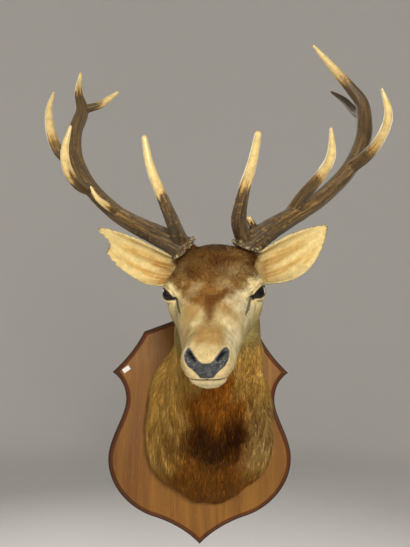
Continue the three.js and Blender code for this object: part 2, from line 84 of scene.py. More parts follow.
def add_camera():
    yaw, pitch, roll = (math.radians(a) for a in (CAMERA_YAW, CAMERA_PITCH, CAMERA_ROLL))
    ahead = Vector((math.sin(yaw) * math.cos(pitch), math.cos(yaw) * math.cos(pitch), math.sin(pitch)))
    right = Vector((math.cos(yaw), -math.sin(yaw), 0.0))
    up = right.cross(ahead)
    right, up = (
        right * math.cos(roll) + up * math.sin(roll),
        up * math.cos(roll) - right * math.sin(roll),
    )
    data = bpy.data.cameras.new("camera")
    data.sensor_width = SENSOR
    data.lens = FOCAL / FRAME_TALL * SENSOR
    data.clip_start, data.clip_end = NEAREST, FARTHEST
    camera = placed("camera", data)
    turned = Matrix((right, up, -ahead)).transposed().to_4x4()
    camera.matrix_world = Matrix.Translation(CAMERA_AT) @ turned
    bpy.context.scene.camera = camera


def nothing_selected():
    for thing in bpy.context.view_layer.objects:
        thing.select_set(False)


def only(thing):
    """Makes one object the selected and active one."""
    nothing_selected()
    thing.select_set(True)
    bpy.context.view_layer.objects.active = thing
    return thing


def edit_mesh(thing, chosen, step=None, **how):
    """Selects all or none of a mesh in edit mode and runs one mesh operator on it."""
    only(thing)
    bpy.ops.object.mode_set(mode="EDIT")
    bpy.ops.mesh.select_all(action=chosen)
    if step:
        step(**how)
    bpy.ops.object.mode_set(mode="OBJECT")


FLOOR_AT, BOWL_RADIUS, BOWL_CENTRE, BOWL_RIM = -1.1, 6.5, 1.2, 4.6
# How sharply the paper sweeps up from the floor, and the rise past which it is as good as a straight wall.
SWEEP, STRAIGHT = 2.2, 40.0
PAPER_COLOUR, SKY_COLOUR, SKY_STRENGTH = (0.74, 0.73, 0.71, 1.0), (1.0, 0.98, 0.95, 1.0), 0.36


def add_stage():
    nothing_selected()
    bpy.ops.mesh.primitive_uv_sphere_add(segments=96, ring_count=64, radius=BOWL_RADIUS,
                                         location=(0, 0, BOWL_CENTRE))
    bowl = bpy.context.object
    bowl.name = "studio_floor"
    bpy.ops.object.transform_apply(location=True, rotation=True, scale=True)
    edit_mesh(bowl, "DESELECT")
    for vertex in bowl.data.vertices:
        vertex.select = vertex.co.z > BOWL_RIM
    bpy.ops.object.mode_set(mode="EDIT")
    bpy.ops.mesh.delete(type="VERT")
    bpy.ops.object.mode_set(mode="OBJECT")
    for vertex in bowl.data.vertices:
        rise = (vertex.co.z - FLOOR_AT) * SWEEP
        vertex.co.z = FLOOR_AT + math.log1p(math.exp(min(rise, STRAIGHT))) / SWEEP
    edit_mesh(bowl, "SELECT", bpy.ops.mesh.normals_make_consistent, inside=True)
    bpy.ops.object.shade_smooth()
    paper = bpy.data.materials.new("studio_paper")
    paper.use_nodes = True
    surface = paper.node_tree.nodes["Principled BSDF"]
    surface.inputs["Base Color"].default_value = PAPER_COLOUR
    surface.inputs["Roughness"].default_value = 0.9
    bowl.data.materials.append(paper)


# name, place, what it points at, width, watts, colour
LIGHTS = (
    ("key", (0.16, -2.6, 0.62), (0.0, -0.25, 0.2), 0.55, 58.0, (1.0, 0.94, 0.83)),
    ("fill", (-2.2, -2.2, 0.6), (0.0, -0.1, 0.0), 2.4, 22.0, (1.0, 0.95, 0.88)),
    ("back", (-1.3, 2.6, 1.8), (0.0, -0.1, 0.3), 2.2, 55.0, (1.0, 0.97, 0.93)),
    ("rim", (2.6, 1.6, 0.9), (0.0, -0.1, 0.3), 1.8, 26.0, (1.0, 0.97, 0.93)),
)


def add_lights():
    for name, place, target, width, watts, colour in LIGHTS:
        data = bpy.data.lights.new(name, "AREA")
        data.shape, data.size = "DISK", width
        data.energy, data.color = watts, colour
        lamp = placed(name, data)
        lamp.location = place
        lamp.rotation_euler = (Vector(target) - Vector(place)).to_track_quat("-Z", "Y").to_euler()
    world = bpy.data.worlds.new("studio")
    world.use_nodes = True
    sky = world.node_tree.nodes["Background"]
    sky.inputs["Color"].default_value = SKY_COLOUR
    sky.inputs["Strength"].default_value = SKY_STRENGTH
    bpy.context.scene.world = world
    bpy.context.scene.view_settings.view_transform = "Standard"


add_camera()
add_stage()
add_lights()

# ---------------------------------------------------------------- small tools for shapes and numbers

HEAD_TURN = np.array(
    Matrix.Rotation(-math.radians(TURN), 3, "Z")
    @ Matrix.Rotation(math.radians(NOSE_DOWN), 3, "X")
    @ Matrix.Rotation(-math.radians(LEAN), 3, "Y")
)
rng = np.random.default_rng(SEED)


def to_mount(points):
    return points @ HEAD_TURN.T + EYES_AT


def to_head(points):
    return (points - EYES_AT) @ HEAD_TURN


def unit(vectors):
    return vectors / np.maximum(np.linalg.norm(vectors, axis=-1, keepdims=True), 1e-9)


def ease(low, high, value):
    share = np.clip((value - low) / (high - low), 0.0, 1.0)
    return share * share * (3.0 - 2.0 * share)


def bump_at(value, middle, reach):
    return np.exp(-(((value - middle) / reach) ** 2))


def mix(first, second, share):
    """Goes from first to second by a share; points and colours take one share each."""
    share = np.asarray(share)
    both_colours = np.shape(first) == (3,) and np.shape(second) == (3,)
    if max(np.ndim(first), np.ndim(second)) > share.ndim or (both_colours and share.ndim):
        share = share[..., None]
    return first + (second - first) * share


def layered(colour, *layers):
    """Lays colours over one another; each layer is a colour and its share."""
    for tint, share in layers:
        colour = mix(colour, tint, share)
    return colour


def lattice_noise(points, scale, seed=0):
    """Smooth random values from -1 to 1 over space, a lump being about `scale` millimetres."""
    at = points / scale + 311.7 + seed * 17.3
    cell = np.floor(at).astype(np.int64)
    part = at - cell
    part = part * part * (3.0 - 2.0 * part)
    total = np.zeros(len(points))
    for corner in range(8):
        step = np.array([corner & 1, corner >> 1 & 1, corner >> 2 & 1])
        key = cell + step
        mixed = key[:, 0] * 73856093 ^ key[:, 1] * 19349663 ^ key[:, 2] * 83492791 ^ (seed * 2654435761)
        mixed = (mixed ^ (mixed >> 13)) * 1274126177 & 0x7FFFFFFF
        mixed = (mixed ^ (mixed >> 16)) & 0xFFFF
        near = np.prod(np.where(step == 1, part, 1.0 - part), axis=1)
        total += near * (mixed / 32767.5 - 1.0)
    return total


def profile(rows, column):
    """A smooth value between rows that each start with where they are."""
    at = np.array([row[0] for row in rows], float)
    value = np.array([row[column] for row in rows], float)
    before = np.maximum(np.arange(len(rows)) - 1, 0)
    after = np.minimum(np.arange(len(rows)) + 1, len(rows) - 1)
    slope = (value[after] - value[before]) / (at[after] - at[before])

    def between(x):
        x = np.asarray(x, float)
        i = np.clip(np.searchsorted(at, x, side="left") - 1, 0, len(rows) - 2)
        span = at[i + 1] - at[i]
        s = np.clip((x - at[i]) / span, 0.0, 1.0)
        start = value[i] * (1 + 2 * s) * (1 - s) ** 2
        end = value[i + 1] * s * s * (3 - 2 * s)
        return start + end + (slope[i] * s * (1 - s) ** 2 - slope[i + 1] * s * s * (1 - s)) * span

    return between


def loft(rings, sides, place):
    """A closed body: place(t, angle) gives points on rings t from 0 to 1."""
    t = np.repeat(np.linspace(0.0, 1.0, rings + 1)[:, None], sides, 1)
    angle = np.repeat(np.linspace(0.0, 2 * np.pi, sides, endpoint=False)[None, :], rings + 1, 0)
    points = place(t, angle)
    ring = np.arange(rings)[:, None] * sides
    j = np.arange(sides)[None, :]
    k = (j + 1) % sides
    quads = np.stack([ring + j, ring + k, ring + sides + k, ring + sides + j], -1).reshape(-1, 4)
    caps = []
    for first, hub in ((0, (rings + 1) * sides), (rings * sides, (rings + 1) * sides + 1)):
        caps += [(first + a, first + (a + 1) % sides, hub) for a in range(sides)]
    ends = np.stack([points[0].mean(0), points[-1].mean(0)])
    return np.vstack([points.reshape(-1, 3), ends]), quads.tolist() + caps


def ball(centre, radii, rings=24, sides=32):
    radii = np.array(radii, float)

    def place(t, angle):
        lat = np.pi * (0.002 + 0.996 * t)
        return centre + radii * np.stack(
            [np.sin(lat) * np.cos(angle), np.sin(lat) * np.sin(angle), np.cos(lat)], -1)

    return loft(rings, sides, place)


def mesh_object(name, points, faces):
    """A mesh object, its points given in millimetres in the mount's frame."""
    mesh = bpy.data.meshes.new(name)
    mesh.from_pydata((np.asarray(points) * MM).tolist(), [], faces)
    return placed(name, mesh)


def moulded_from(name, bodies, voxel):
    """Joins closed bodies into one even skin of quads."""
    points, faces, start = [], [], 0
    for body_points, body_faces in bodies:
        points.append(body_points)
        faces += [[i + start for i in face] for face in body_faces]
        start += len(body_points)
    thing = mesh_object(name, np.vstack(points), faces)
    edit_mesh(thing, "SELECT", bpy.ops.mesh.normals_make_consistent, inside=False)
    union = thing.modifiers.new("union", "REMESH")
    union.mode = "VOXEL"
    union.voxel_size = voxel * MM
    bpy.ops.object.modifier_apply(modifier=union.name)
    return thing


def read(items, field, width=1, kind=np.float32):
    """One field of many mesh items, a row for each."""
    flat = np.empty(len(items) * width, kind)
    items.foreach_get(field, flat)
    return flat.reshape(-1, width) if width > 1 else flat


def points_of(thing):
    return read(thing.data.vertices, "co", 3).astype(float) / MM


def put_points(thing, points):
    thing.data.vertices.foreach_set("co", (points * MM).astype(np.float32).ravel())
    thing.data.update()


def normals_of(thing):
    return read(thing.data.vertex_normals, "vector", 3).astype(float)


def edges_of(thing):
    return read(thing.data.edges, "vertices", 2, np.int32)


def averaged(values, edges):
    """Each point's value replaced by the mean of its neighbours'."""
    many = len(values)
    count = np.maximum(np.bincount(edges.ravel(), minlength=many), 1)
    columns = []
    for column in values.reshape(many, -1).T:
        total = np.bincount(edges[:, 0], column[edges[:, 1]], many)
        total += np.bincount(edges[:, 1], column[edges[:, 0]], many)
        columns.append(total / count)
    return np.stack(columns, -1).reshape(values.shape)


def relaxed(values, edges, rounds, strength):
    """Smooths values over a mesh; strength is one number or one for each point."""
    strength = np.broadcast_to(strength, len(values))
    if values.ndim > 1:
        strength = strength[:, None]
    for _ in range(rounds):
        values = values + strength * (averaged(values, edges) - values)
    return values


def paint(thing, name, colours):
    """Writes one colour for each point as a colour attribute."""
    layer = thing.data.color_attributes.new(name, "FLOAT_COLOR", "POINT")
    rgba = np.ones((len(colours), 4), np.float32)
    rgba[:, :3] = np.clip(colours, 0.0, 1.0)
    layer.data.foreach_set("color", rgba.ravel())


def mark(thing, name, values):
    """Writes one number or one place for each point as an attribute."""
    values = np.asarray(values, np.float32)
    kind, field = ("FLOAT", "value") if values.ndim == 1 else ("FLOAT_VECTOR", "vector")
    layer = thing.data.attributes.new(name, kind, "POINT")
    layer.data.foreach_set(field, values.ravel())


def shade(code):
    """A colour as the eye names it, '#rrggbb', in the light's own numbers."""
    seen = np.array([int(code[i:i + 2], 16) for i in (1, 3, 5)]) / 255.0
    return np.where(seen <= 0.04045, seen / 12.92, ((seen + 0.055) / 1.055) ** 2.4)


def shades(codes):
    return [shade(code) for code in codes.split()]


# ---------------------------------------------------------------- flesh forms

# Head, nape to nose: place along the face, top, bottom, height of the widest point, half width.
HEAD = (
    (-116, 34, -8, 12, 26), (-108, 52, -40, 8, 52), (-90, 64, -72, 2, 67), (-65, 67, -94, -2, 76),
    (-35, 61, -102, 0, 84), (0, 47, -98, 8, 88), (30, 37, -90, 0, 76), (60, 29, -83, -12, 65),
    (100, 21, -76, -26, 54), (140, 15, -73, -32, 46), (172, 11, -76, -31, 42), (190, 7, -73, -28, 41),
    (204, 2, -56, -24, 36), (213, -4, -43, -22, 28), (217, -12, -32, -21, 13),
)
HEAD_SQUARENESS = 2.25

# Rises and hollows on each side of the face: right, forward, up, reach, rise.
FACE_FORMS = (
    (86, 3, 25, 24, 7), (86, 15, 1, 18, -8), (68, 48, 2, 16, -4), (82, -30, -52, 40, 4),
    (42, 178, -30, 20, 3), (32, 205, -6, 12, 3), (40, 190, -58, 19, -9), (23, 204, -50, 13, 5),
)

# Neck, board to head: depth from the wall, top, bottom, height of the widest point, half width,
# shift to the right, squareness of the upper half.
NECK = (
    (22.3, 182, -157, 0, 137, 18, 2.9), (60, 187, -155, 0, 140, 18, 2.7), (105, 216, -132, 5, 132, 18, 2.2),
    (150, 258, -90, 20, 110, 21, 2.05), (190, 294, -32, 60, 99, 23, 2.1), (225, 326, 40, 115, 92, 23, 2.2),
    (250, 344, 108, 170, 84, 21, 2.3), (270, 350, 160, 215, 78, 18, 2.3), (286, 338, 205, 250, 54, 15, 2.3),
)
THROAT_SQUARENESS = 2.15
NECK_MIDDLE = 18
BOARD_FACE = 22.0

# Rings and sides of the bodies that are joined to make the skin.
SKULL_MESH, NECK_MESH, PEDICLE_MESH = (120, 112), (90, 128), (8, 40)

# Glass eye, its middle on the right side of the head.
EYE_RADIUS = 19.0
EYE_AT = (72.0, -5.0, 7.0)
SIDES = (("left", -1.0), ("right", 1.0))


def egg(rows, at, angle, upper, lower):
    """Across and up on an egg-shaped section; the angle starts at the top."""
    top, bottom, wide, half = (profile(rows, c)(at) for c in (1, 2, 3, 4))
    above = np.cos(angle) > 0
    power = 2.0 / np.where(above, upper, lower)
    sideways = np.sign(np.sin(angle)) * np.abs(np.sin(angle)) ** power
    upright = np.sign(np.cos(angle)) * np.abs(np.cos(angle)) ** power
    return sideways * half, wide + upright * np.where(above, top - wide, wide - bottom), wide


def face_forms(points, level):
    out = unit(np.stack([points[..., 0], np.zeros(level.shape), points[..., 2] - level], -1))
    moved = points.copy()
    for right, forward, up, reach, rise in FACE_FORMS:
        for _, side in SIDES:
            near = np.exp(-np.sum((moved - (side * right, -forward, up)) ** 2, -1) / reach ** 2)
            moved = moved + out * (rise * near)[..., None]
    return moved


def skull():
    def place(t, angle):
        at = HEAD[0][0] + (HEAD[-1][0] - HEAD[0][0]) * (1 - np.cos(np.pi * t)) / 2
        across, up, level = egg(HEAD, at, angle, HEAD_SQUARENESS, HEAD_SQUARENESS)
        return face_forms(np.stack([across, -at, up], -1), level)

    points, faces = loft(*SKULL_MESH, place)
    return to_mount(points), faces


def neck():
    def place(t, angle):
        at = NECK[0][0] + (NECK[-1][0] - NECK[0][0]) * t
        across, up, _ = egg(NECK, at, angle, profile(NECK, 6)(at), THROAT_SQUARENESS)
        turn = np.degrees(np.arctan2(np.abs(across), -up))
        nick = bump_at(turn, 30.0, 12.0) * bump_at(at, BOARD_FACE, 70.0) * 16.0
        keep = 1 - nick / np.maximum(np.hypot(across, up), 1.0)
        return np.stack([profile(NECK, 5)(at) + across * keep, -at, up * keep], -1)

    return loft(*NECK_MESH, place)


# Each ear: foot and tip, the way its cup faces, and how far its middle sags.
EARS = {
    "left": ((-76, 62, 16), (-224, 112, 94), (-0.25, -0.86, 0.3), 17.0),
    "right": ((76, 62, 16), (213, 138, 74), (0.25, -0.86, 0.3), 13.0),
}
# Foot to tip: share of the length, half width, degrees wrapped round, thickness.
EAR_OUTLINE = (
    (0, 26, 95, 9), (0.15, 34, 82, 8), (0.35, 40, 62, 7), (0.55, 39, 48, 6), (0.75, 29, 38, 5.4),
    (0.9, 16, 30, 5.0), (1, 4, 20, 4.6),
)
# Tears in the left ear's lower edge: where each starts and ends along the ear, and its depth.
EAR_BITES = ((0.80, 0.985, 0.92), (0.735, 0.775, 0.34), (0.66, 0.70, 0.16))
EAR_ALONG, EAR_ACROSS = 110, 44


def ear_frame(side):
    foot, tip, facing, sag = EARS[side]
    foot, along, facing = np.array(foot, float), np.subtract(tip, foot).astype(float), np.array(facing)
    way = unit(along)
    aside = unit(np.cross(facing, way))
    upward = aside if aside[2] > 0 else -aside
    opening = unit(facing - way * (facing @ way))
    return foot, along, way, upward, opening, sag


def ear_place(side, share, sideways, skin):
    """A point of the ear: share from foot to tip, sideways from -1 (lower edge) to 1, skin from -0.5
    (inside) to 0.5."""
    foot, along, _, upward, opening, sag = ear_frame(side)
    half, wrap, thick = (profile(EAR_OUTLINE, c)(share) for c in (1, 2, 3))
    if side == "left":
        sideways = np.where(sideways < 0, sideways * (1 - 0.20 * bump_at(share, 0.48, 0.26)), sideways)
        for start, end, depth in EAR_BITES:
            bite = depth * ease(start, start + 0.022, share) * ease(end, end - 0.3 * (end - start), share)
            bite = bite * (1 - 0.30 * np.abs(2 * ((share * 17 + 0.73) % 1) - 1))
            sideways = np.where(sideways < 0, sideways * (1 - bite), sideways)
    spread = np.radians(wrap)
    radius = half / np.sin(np.minimum(spread, np.pi / 2))
    angle = sideways * spread
    inside = np.clip(0.5 - skin, 0, 1)
    folds = 2.6 * np.cos(sideways * 9.5 + share * 2.0) * ease(0.02, 0.2, share) * (1 - ease(0.45, 0.8, share))
    folds = folds * (1 - np.abs(sideways) ** 2) * inside
    shell = radius + skin * thick * (1 - 0.3 * sideways ** 2) + folds
    spots = np.stack([share * 60, sideways * 20, sideways * 0], -1).reshape(-1, 3)
    curl = 1.8 * lattice_noise(spots, 9.0, 5).reshape(share.shape) * np.abs(sideways) ** 3
    return (
        foot + along * share[..., None]
        + upward * (shell * np.sin(angle) - sag * 4 * share * (1 - share))[..., None]
        + opening * (radius * np.cos(spread) - shell * np.cos(angle) + curl)[..., None]
    )


def ear(side):
    share = np.linspace(0, 1, EAR_ALONG + 1)[:, None]
    across = np.linspace(-1, 1, EAR_ACROSS + 1)[None, :]
    share, across = np.broadcast_arrays(share, across)
    inner = ear_place(side, share, across, -0.5)
    outer = ear_place(side, share, across, 0.5)
    rows, columns = share.shape
    points = np.vstack([inner.reshape(-1, 3), outer.reshape(-1, 3)])
    index = np.arange(rows * columns).reshape(rows, columns)
    other = index + rows * columns
    faces = []
    for sheet, flip in ((index, False), (other, True)):
        quads = np.stack([sheet[:-1, :-1], sheet[1:, :-1], sheet[1:, 1:], sheet[:-1, 1:]], -1).reshape(-1, 4)
        faces += (quads[:, ::-1] if flip else quads).tolist()
    for a, b in ((index[:, 0], other[:, 0]), (other[:, -1], index[:, -1]), (other[0], index[0]),
                 (index[-1], other[-1])):
        faces += np.stack([a[:-1], b[:-1], b[1:], a[1:]], -1).tolist()
    return to_mount(points), faces


# ---------------------------------------------------------------- antlers: where they run

# Points of each branch and its radii, root to point, in the head's frame.
ANTLERS = {
    "left": {
        "beam": (
            ((-59, 86, 58), (-96, 98, 74), (-135, 125, 84), (-178, 164, 92), (-216, 198, 106),
             (-274, 253, 147), (-307, 303, 197), (-313, 348, 244), (-302, 383, 282), (-312, 410, 317),
             (-312, 451, 360)),
            (24, 20, 18, 17, 16.5, 16, 15.5, 15, 15, 9, 2.5)),
        "brow": (((-60, 84, 64), (-74, 69, 118), (-92, 64, 179), (-105, 68, 222), (-113, 82, 273)),
                 (15, 12.5, 10, 8, 5)),
        "bez": (((-196, 180, 99), (-214, 160, 124), (-229, 145, 147), (-240, 149, 170)),
                (10, 8, 5.5, 2.5)),
        "trez": (((-262, 240, 135), (-280, 204, 160), (-290, 183, 194), (-290, 180, 232), (-273, 190, 281)),
                 (13, 12, 10, 7.5, 2.5)),
        "outer": (((-298, 292, 184), (-334, 300, 200), (-356, 318, 230), (-370, 360, 288), (-361, 389, 326)),
                  (12, 12, 11, 7.5, 2.5)),
        "crown": (((-303, 384, 280), (-287, 390, 286), (-264, 396, 291), (-221, 416, 316)),
                  (10, 8.5, 7, 2.5)),
    },
    "right": {
        "beam": (
            ((59, 88, 57), (98, 118, 74), (139, 160, 84), (202, 220, 101), (235, 253, 117),
             (269, 281, 143), (295, 311, 173), (311, 342, 202), (316, 368, 229), (313, 396, 266),
             (291, 406, 296), (266, 412, 325), (208, 411, 390)),
            (24, 20.5, 18.5, 17, 16.5, 16.5, 17, 17.5, 17, 14, 11, 8, 2.5)),
        "brow": (((58, 86, 64), (47, 74, 112), (58, 63, 170), (73, 57, 215), (87, 49, 276)),
                 (16, 14, 11, 8.5, 5.5)),
        "bez": (((84, 112, 66), (72, 106, 90), (64, 98, 112)), (10, 8, 4.5)),
        "trez": (((146, 182, 88), (170, 168, 128), (198, 149, 168), (217, 131, 210), (216, 131, 263)),
                 (14, 13, 11, 8.5, 2.5)),
        "outer": (((275, 286, 150), (305, 264, 180), (326, 238, 220), (334, 219, 266), (319, 222, 316)),
                  (14, 12.5, 10, 8, 2.5)),
        "crown": (((315, 376, 240), (302, 420, 246), (284, 462, 266), (257, 491, 283)),
                  (11, 9.5, 7.5, 2.5)),
    },
}
# Where each branch turns from bark brown to ivory: share of its length where that starts and ends.
IVORY = {
    "left": {"beam": (0.84, 0.95), "brow": (0.42, 0.58), "bez": (0.12, 0.60), "trez": (0.22, 0.60),
             "outer": (0.10, 0.60), "crown": (0.12, 0.75)},
    "right": {"beam": (0.76, 0.92), "brow": (0.42, 0.66), "bez": (0.5, 0.95), "trez": (0.34, 0.66),
              "outer": (0.10, 0.58), "crown": (0.45, 1.60)},
}
BURR_RADIUS, BURR_HEIGHT = 28.5, 12.0
# The bony stump under each burr: its foot in the head, its radius and how much wider that is at the foot.
PEDICLE_FOOT, PEDICLE_RADIUS, PEDICLE_FLARE = (46.0, 64.0, 20.0), 23.0, 4.0


def smooth_path(points, steps=60):
    """Evenly spaced points on a smooth curve through `points`, and the share of its length at each."""
    points = np.array(points, float)
    ends = np.vstack([2 * points[0] - points[1], points, 2 * points[-1] - points[-2]])
    s = np.linspace(0, 1, steps, endpoint=False)[:, None]
    curve = []
    for a, b, c, d in zip(ends, ends[1:], ends[2:], ends[3:]):
        first, middle, last = (math.sqrt(np.linalg.norm(v)) for v in (b - a, c - b, d - c))
        start = ((b - a) / first - (c - a) / (first + middle) + (c - b) / middle) * middle
        end = ((c - b) / middle - (d - b) / (middle + last) + (d - c) / last) * middle
        curve.append(b + start * s + (3 * (c - b) - 2 * start - end) * s ** 2
                     + (2 * (b - c) + start + end) * s ** 3)
    curve = np.vstack([*curve, points[-1:]])
    length = np.concatenate([[0], np.cumsum(np.linalg.norm(np.diff(curve, axis=0), axis=1))])
    even = np.linspace(0, length[-1], max(int(length[-1] / 2.0), 12))
    return np.stack([np.interp(even, length, curve[:, k]) for k in range(3)], -1), length[-1]


def branch_lines(branch):
    """Centre line, radius, length and carried-along cross axes of a branch."""
    path, radii = branch
    line, length = smooth_path(path)
    share = np.linspace(0, 1, len(line))
    rows = [(i / (len(radii) - 1), r) for i, r in enumerate(radii)]
    radius = profile(rows, 1)(share)
    from_point = np.minimum((1 - share) * length / radii[-1], 1)
    radius = radius * np.sqrt(1 - 0.98 * (1 - from_point) ** 2)
    ahead = unit(np.gradient(line, axis=0))
    aside = [unit(np.cross(ahead[0], (0.3, 0.2, 1.0)))]
    for way in ahead[1:]:
        aside.append(unit(aside[-1] - way * (aside[-1] @ way)))
    aside = np.array(aside)
    return line, radius, length, ahead, aside, np.cross(ahead, aside)


def branch_body(branch, sides=36):
    line, radius, _, _, aside, across = branch_lines(branch)

    def place(t, angle):
        ring = np.rint(t * (len(line) - 1)).astype(int)
        around = aside[ring] * np.cos(angle)[..., None] + across[ring] * np.sin(angle)[..., None]
        return line[ring] + around * radius[ring][..., None]

    return loft(len(line) - 1, sides, place)


def antler_root(side):
    beam, brow = ANTLERS[side]["beam"][0], ANTLERS[side]["brow"][0]
    foot = np.array(beam[0], float)
    way = unit(unit(np.subtract(beam[1], foot)) + unit(np.subtract(brow[1], brow[0])))
    return foot, way


def pedicle(side, mirror):
    foot, way = antler_root(side)
    start = np.array(PEDICLE_FOOT) * (mirror, 1, 1)
    end = foot - way * BURR_HEIGHT / 2
    aside = unit(np.cross((0, 1, 0), way))
    upward = np.cross(way, aside)

    def place(t, angle):
        radius = PEDICLE_RADIUS + PEDICLE_FLARE * (1 - t)
        around = aside * np.sin(angle)[..., None] + upward * np.cos(angle)[..., None]
        return start + (end - start) * t[..., None] + around * radius[..., None]

    points, faces = loft(*PEDICLE_MESH, place)
    return to_mount(points), faces


# ---------------------------------------------------------------- skin

# Size of the skin's faces before it is smoothed, and the ball that gives the lids their roundness.
SKIN_VOXEL = 2.9
LID_BALL = 20.6
# Rounds of smoothing: all over, where the neck joins, at the ears' feet and on the finer faces.
ALL_ROUNDS, JOIN_ROUNDS, FOOT_ROUNDS, FINE_ROUNDS, STRENGTH = 7, 30, 14, 2, 0.5
# Skin has finer faces this near an eye's middle and this far forward.
FINE_ROUND_EYE, FINE_FROM = 30.0, -168
# How high the bare nose stands, and how deep the rest lies: the groove round the nose, tear pit, crease
# over the eye, nostril, line of the mouth, lower lip and cleft of the upper lip.
PAD_HIGH, PAD_GROOVE, PIT_DEEP, CREASE_DEEP = 0.9, 0.9, 3.2, 0.7
NOSTRIL_DEEP, MOUTH_DEEP, LIP_DEEP, CLEFT_DEEP = 6.5, 3.4, 2.2, 1.5


def head_ball(place, radius):
    points, faces = ball(np.array(place, float), (radius,) * 3)
    return to_mount(points), faces


def neck_share(head_points):
    """0 on the head, 1 on the neck, with an easy change behind the jaw."""
    _, y, z = head_points.T
    behind = ease(38.0, 100.0, y + 0.28 * z) * ease(20.0, -40.0, z)
    below = ease(-95.0, -135.0, z) * ease(-90.0, -10.0, y)
    return behind + below * (1 - behind)


def ear_share(head_points):
    """1 on the two ears and 0 elsewhere, and how far out along an ear a point lies."""
    x, y, z = head_points.T
    share, out = np.zeros(len(head_points)), np.zeros(len(head_points))
    for side, mirror in SIDES:
        foot, along, way, *_ = ear_frame(side)
        mine = ease(0.0, 16.0, x * mirror - 78.0) * ease(-60.0, -40.0, z) * ease(10.0, 30.0, y)
        share = np.maximum(share, mine)
        out = np.where(mine > 0, (head_points - foot) @ way / np.linalg.norm(along), out)
    return share, out


def segment_distance(points, start, end):
    start, end = np.array(start, float), np.array(end, float)
    way = end - start
    t = np.clip((points - start) @ way / (way @ way), 0, 1)
    return np.linalg.norm(points - start - way * t[:, None], axis=1), t


# Eye opening, in degrees: how far the eye looks forward, half length, height above and below, tilt.
EYE_FORWARD, EYE_HALF, EYE_UPPER, EYE_LOWER, EYE_TILT = 38.0, 62.0, 34.0, 18.0, 8.0


def eye_axes(mirror):
    """Where the eye looks, and the ways along and above its tilted opening."""
    forward, tilt = math.radians(EYE_FORWARD), math.radians(EYE_TILT)
    axis = np.array([mirror * math.cos(forward), -math.sin(forward), 0.0])
    level = unit(np.array([-mirror * math.sin(forward), -math.cos(forward), 0.0]))
    upright = unit(np.cross(axis, level) * mirror)
    upright = upright if upright[2] > 0 else -upright
    front = level * math.cos(tilt) - upright * math.sin(tilt)
    above = upright * math.cos(tilt) + level * math.sin(tilt)
    return axis, front, above


def lid_margin(points, mirror):
    """Degrees outside (+) or inside (-) the eye's opening, distance from the eye's middle and degrees
    above it."""
    axis, front, above = eye_axes(mirror)
    away = points - np.array(EYE_AT) * (mirror, 1, 1)
    far = np.linalg.norm(away, axis=1)
    turned = np.degrees(np.arccos(np.clip(away @ axis / far, -1, 1)))
    flat = unit(np.stack([away @ front, away @ above], -1))
    along, rise = turned * flat[:, 0], turned * flat[:, 1]
    reach = np.clip(1 - (along / EYE_HALF) ** 2, 0, 1)
    height = np.where(rise > 0, EYE_UPPER, EYE_LOWER) * reach ** 0.8
    past = np.maximum(np.abs(along) - EYE_HALF, 0)
    margin = np.where(past > 0, np.hypot(past, rise), np.abs(rise) - height)
    return margin, far, rise


# Half of the bare nose on its plan, from the middle of the top round to the middle of the lip.
NOSE_PAD = ((0, -121), (6, -120.5), (10.5, -117), (16, -110), (21.5, -102.5), (26, -98), (30, -97),
            (33.5, -102), (33.7, -109), (31.5, -117.5), (27, -125), (18.5, -132), (13, -137.5), (10, -141.5),
            (0, -143))
# The nose's plan looks along the slope of the muzzle: how much of back and up it takes. In front of
# NOSE_FROM a point can lie on it, and FAR_OFF is the margin of all other points.
PLAN_BACK, PLAN_UP = 0.519, 0.851
NOSE_FROM, FAR_OFF = -165.0, 40.0
NOSTRIL_TOP, NOSTRIL_FOOT = (27.5, -104.0, 0.0), (18.5, -115.5, 0.0)


def nose_plan(points):
    """Where a point of the muzzle lies on the plan of the nose: out from the middle, up, and 0."""
    out, up = np.abs(points[:, 0]), PLAN_BACK * points[:, 1] + PLAN_UP * points[:, 2]
    return np.stack([out, up, np.zeros(len(points))], -1)


def polygon_distance(x, z, corners):
    """Distance to a closed outline, negative inside it."""
    corners = np.array(corners, float)
    nearest = np.full(len(x), 1e9)
    inside = np.zeros(len(x), bool)
    for (ax, az), (bx, bz) in zip(corners, np.roll(corners, -1, axis=0)):
        wide, tall = bx - ax, bz - az
        t = np.clip(((x - ax) * wide + (z - az) * tall) / (wide ** 2 + tall ** 2), 0, 1)
        nearest = np.minimum(nearest, np.hypot(x - ax - wide * t, z - az - tall * t))
        crosses = (az > z) != (bz > z)
        with np.errstate(divide="ignore", invalid="ignore"):
            inside ^= crosses & (x < wide * (z - az) / tall + ax)
    return np.where(inside, -nearest, nearest)


def nose_margin(points):
    """Millimetres outside (+) or inside (-) the bare nose."""
    out, up, _ = nose_plan(points).T
    outline = NOSE_PAD + tuple((-x, z) for x, z in NOSE_PAD[-2:0:-1])
    return np.where(points[:, 1] < NOSE_FROM, polygon_distance(out, up, outline), FAR_OFF)


def nostril_depth(points):
    """1 in the middle of a nostril, 0 outside."""
    gap, t = segment_distance(nose_plan(points), NOSTRIL_TOP, NOSTRIL_FOOT)
    return np.where(points[:, 1] < NOSE_FROM, ease(3.6, 0.8, gap - 0.8 * (1 - t)), 0.0)


# Line of the mouth: height at its corner, degrees that it slopes, and the corner's place along the face.
MOUTH_AT, MOUTH_TILT, MOUTH_CORNER = -34.2, 4.0, -112.0


def mouth_gap(points):
    """Height above the line of the mouth, for points in front of its corner."""
    line = MOUTH_AT + np.tan(math.radians(MOUTH_TILT)) * (points[:, 1] - MOUTH_CORNER)
    return points[:, 2] - line


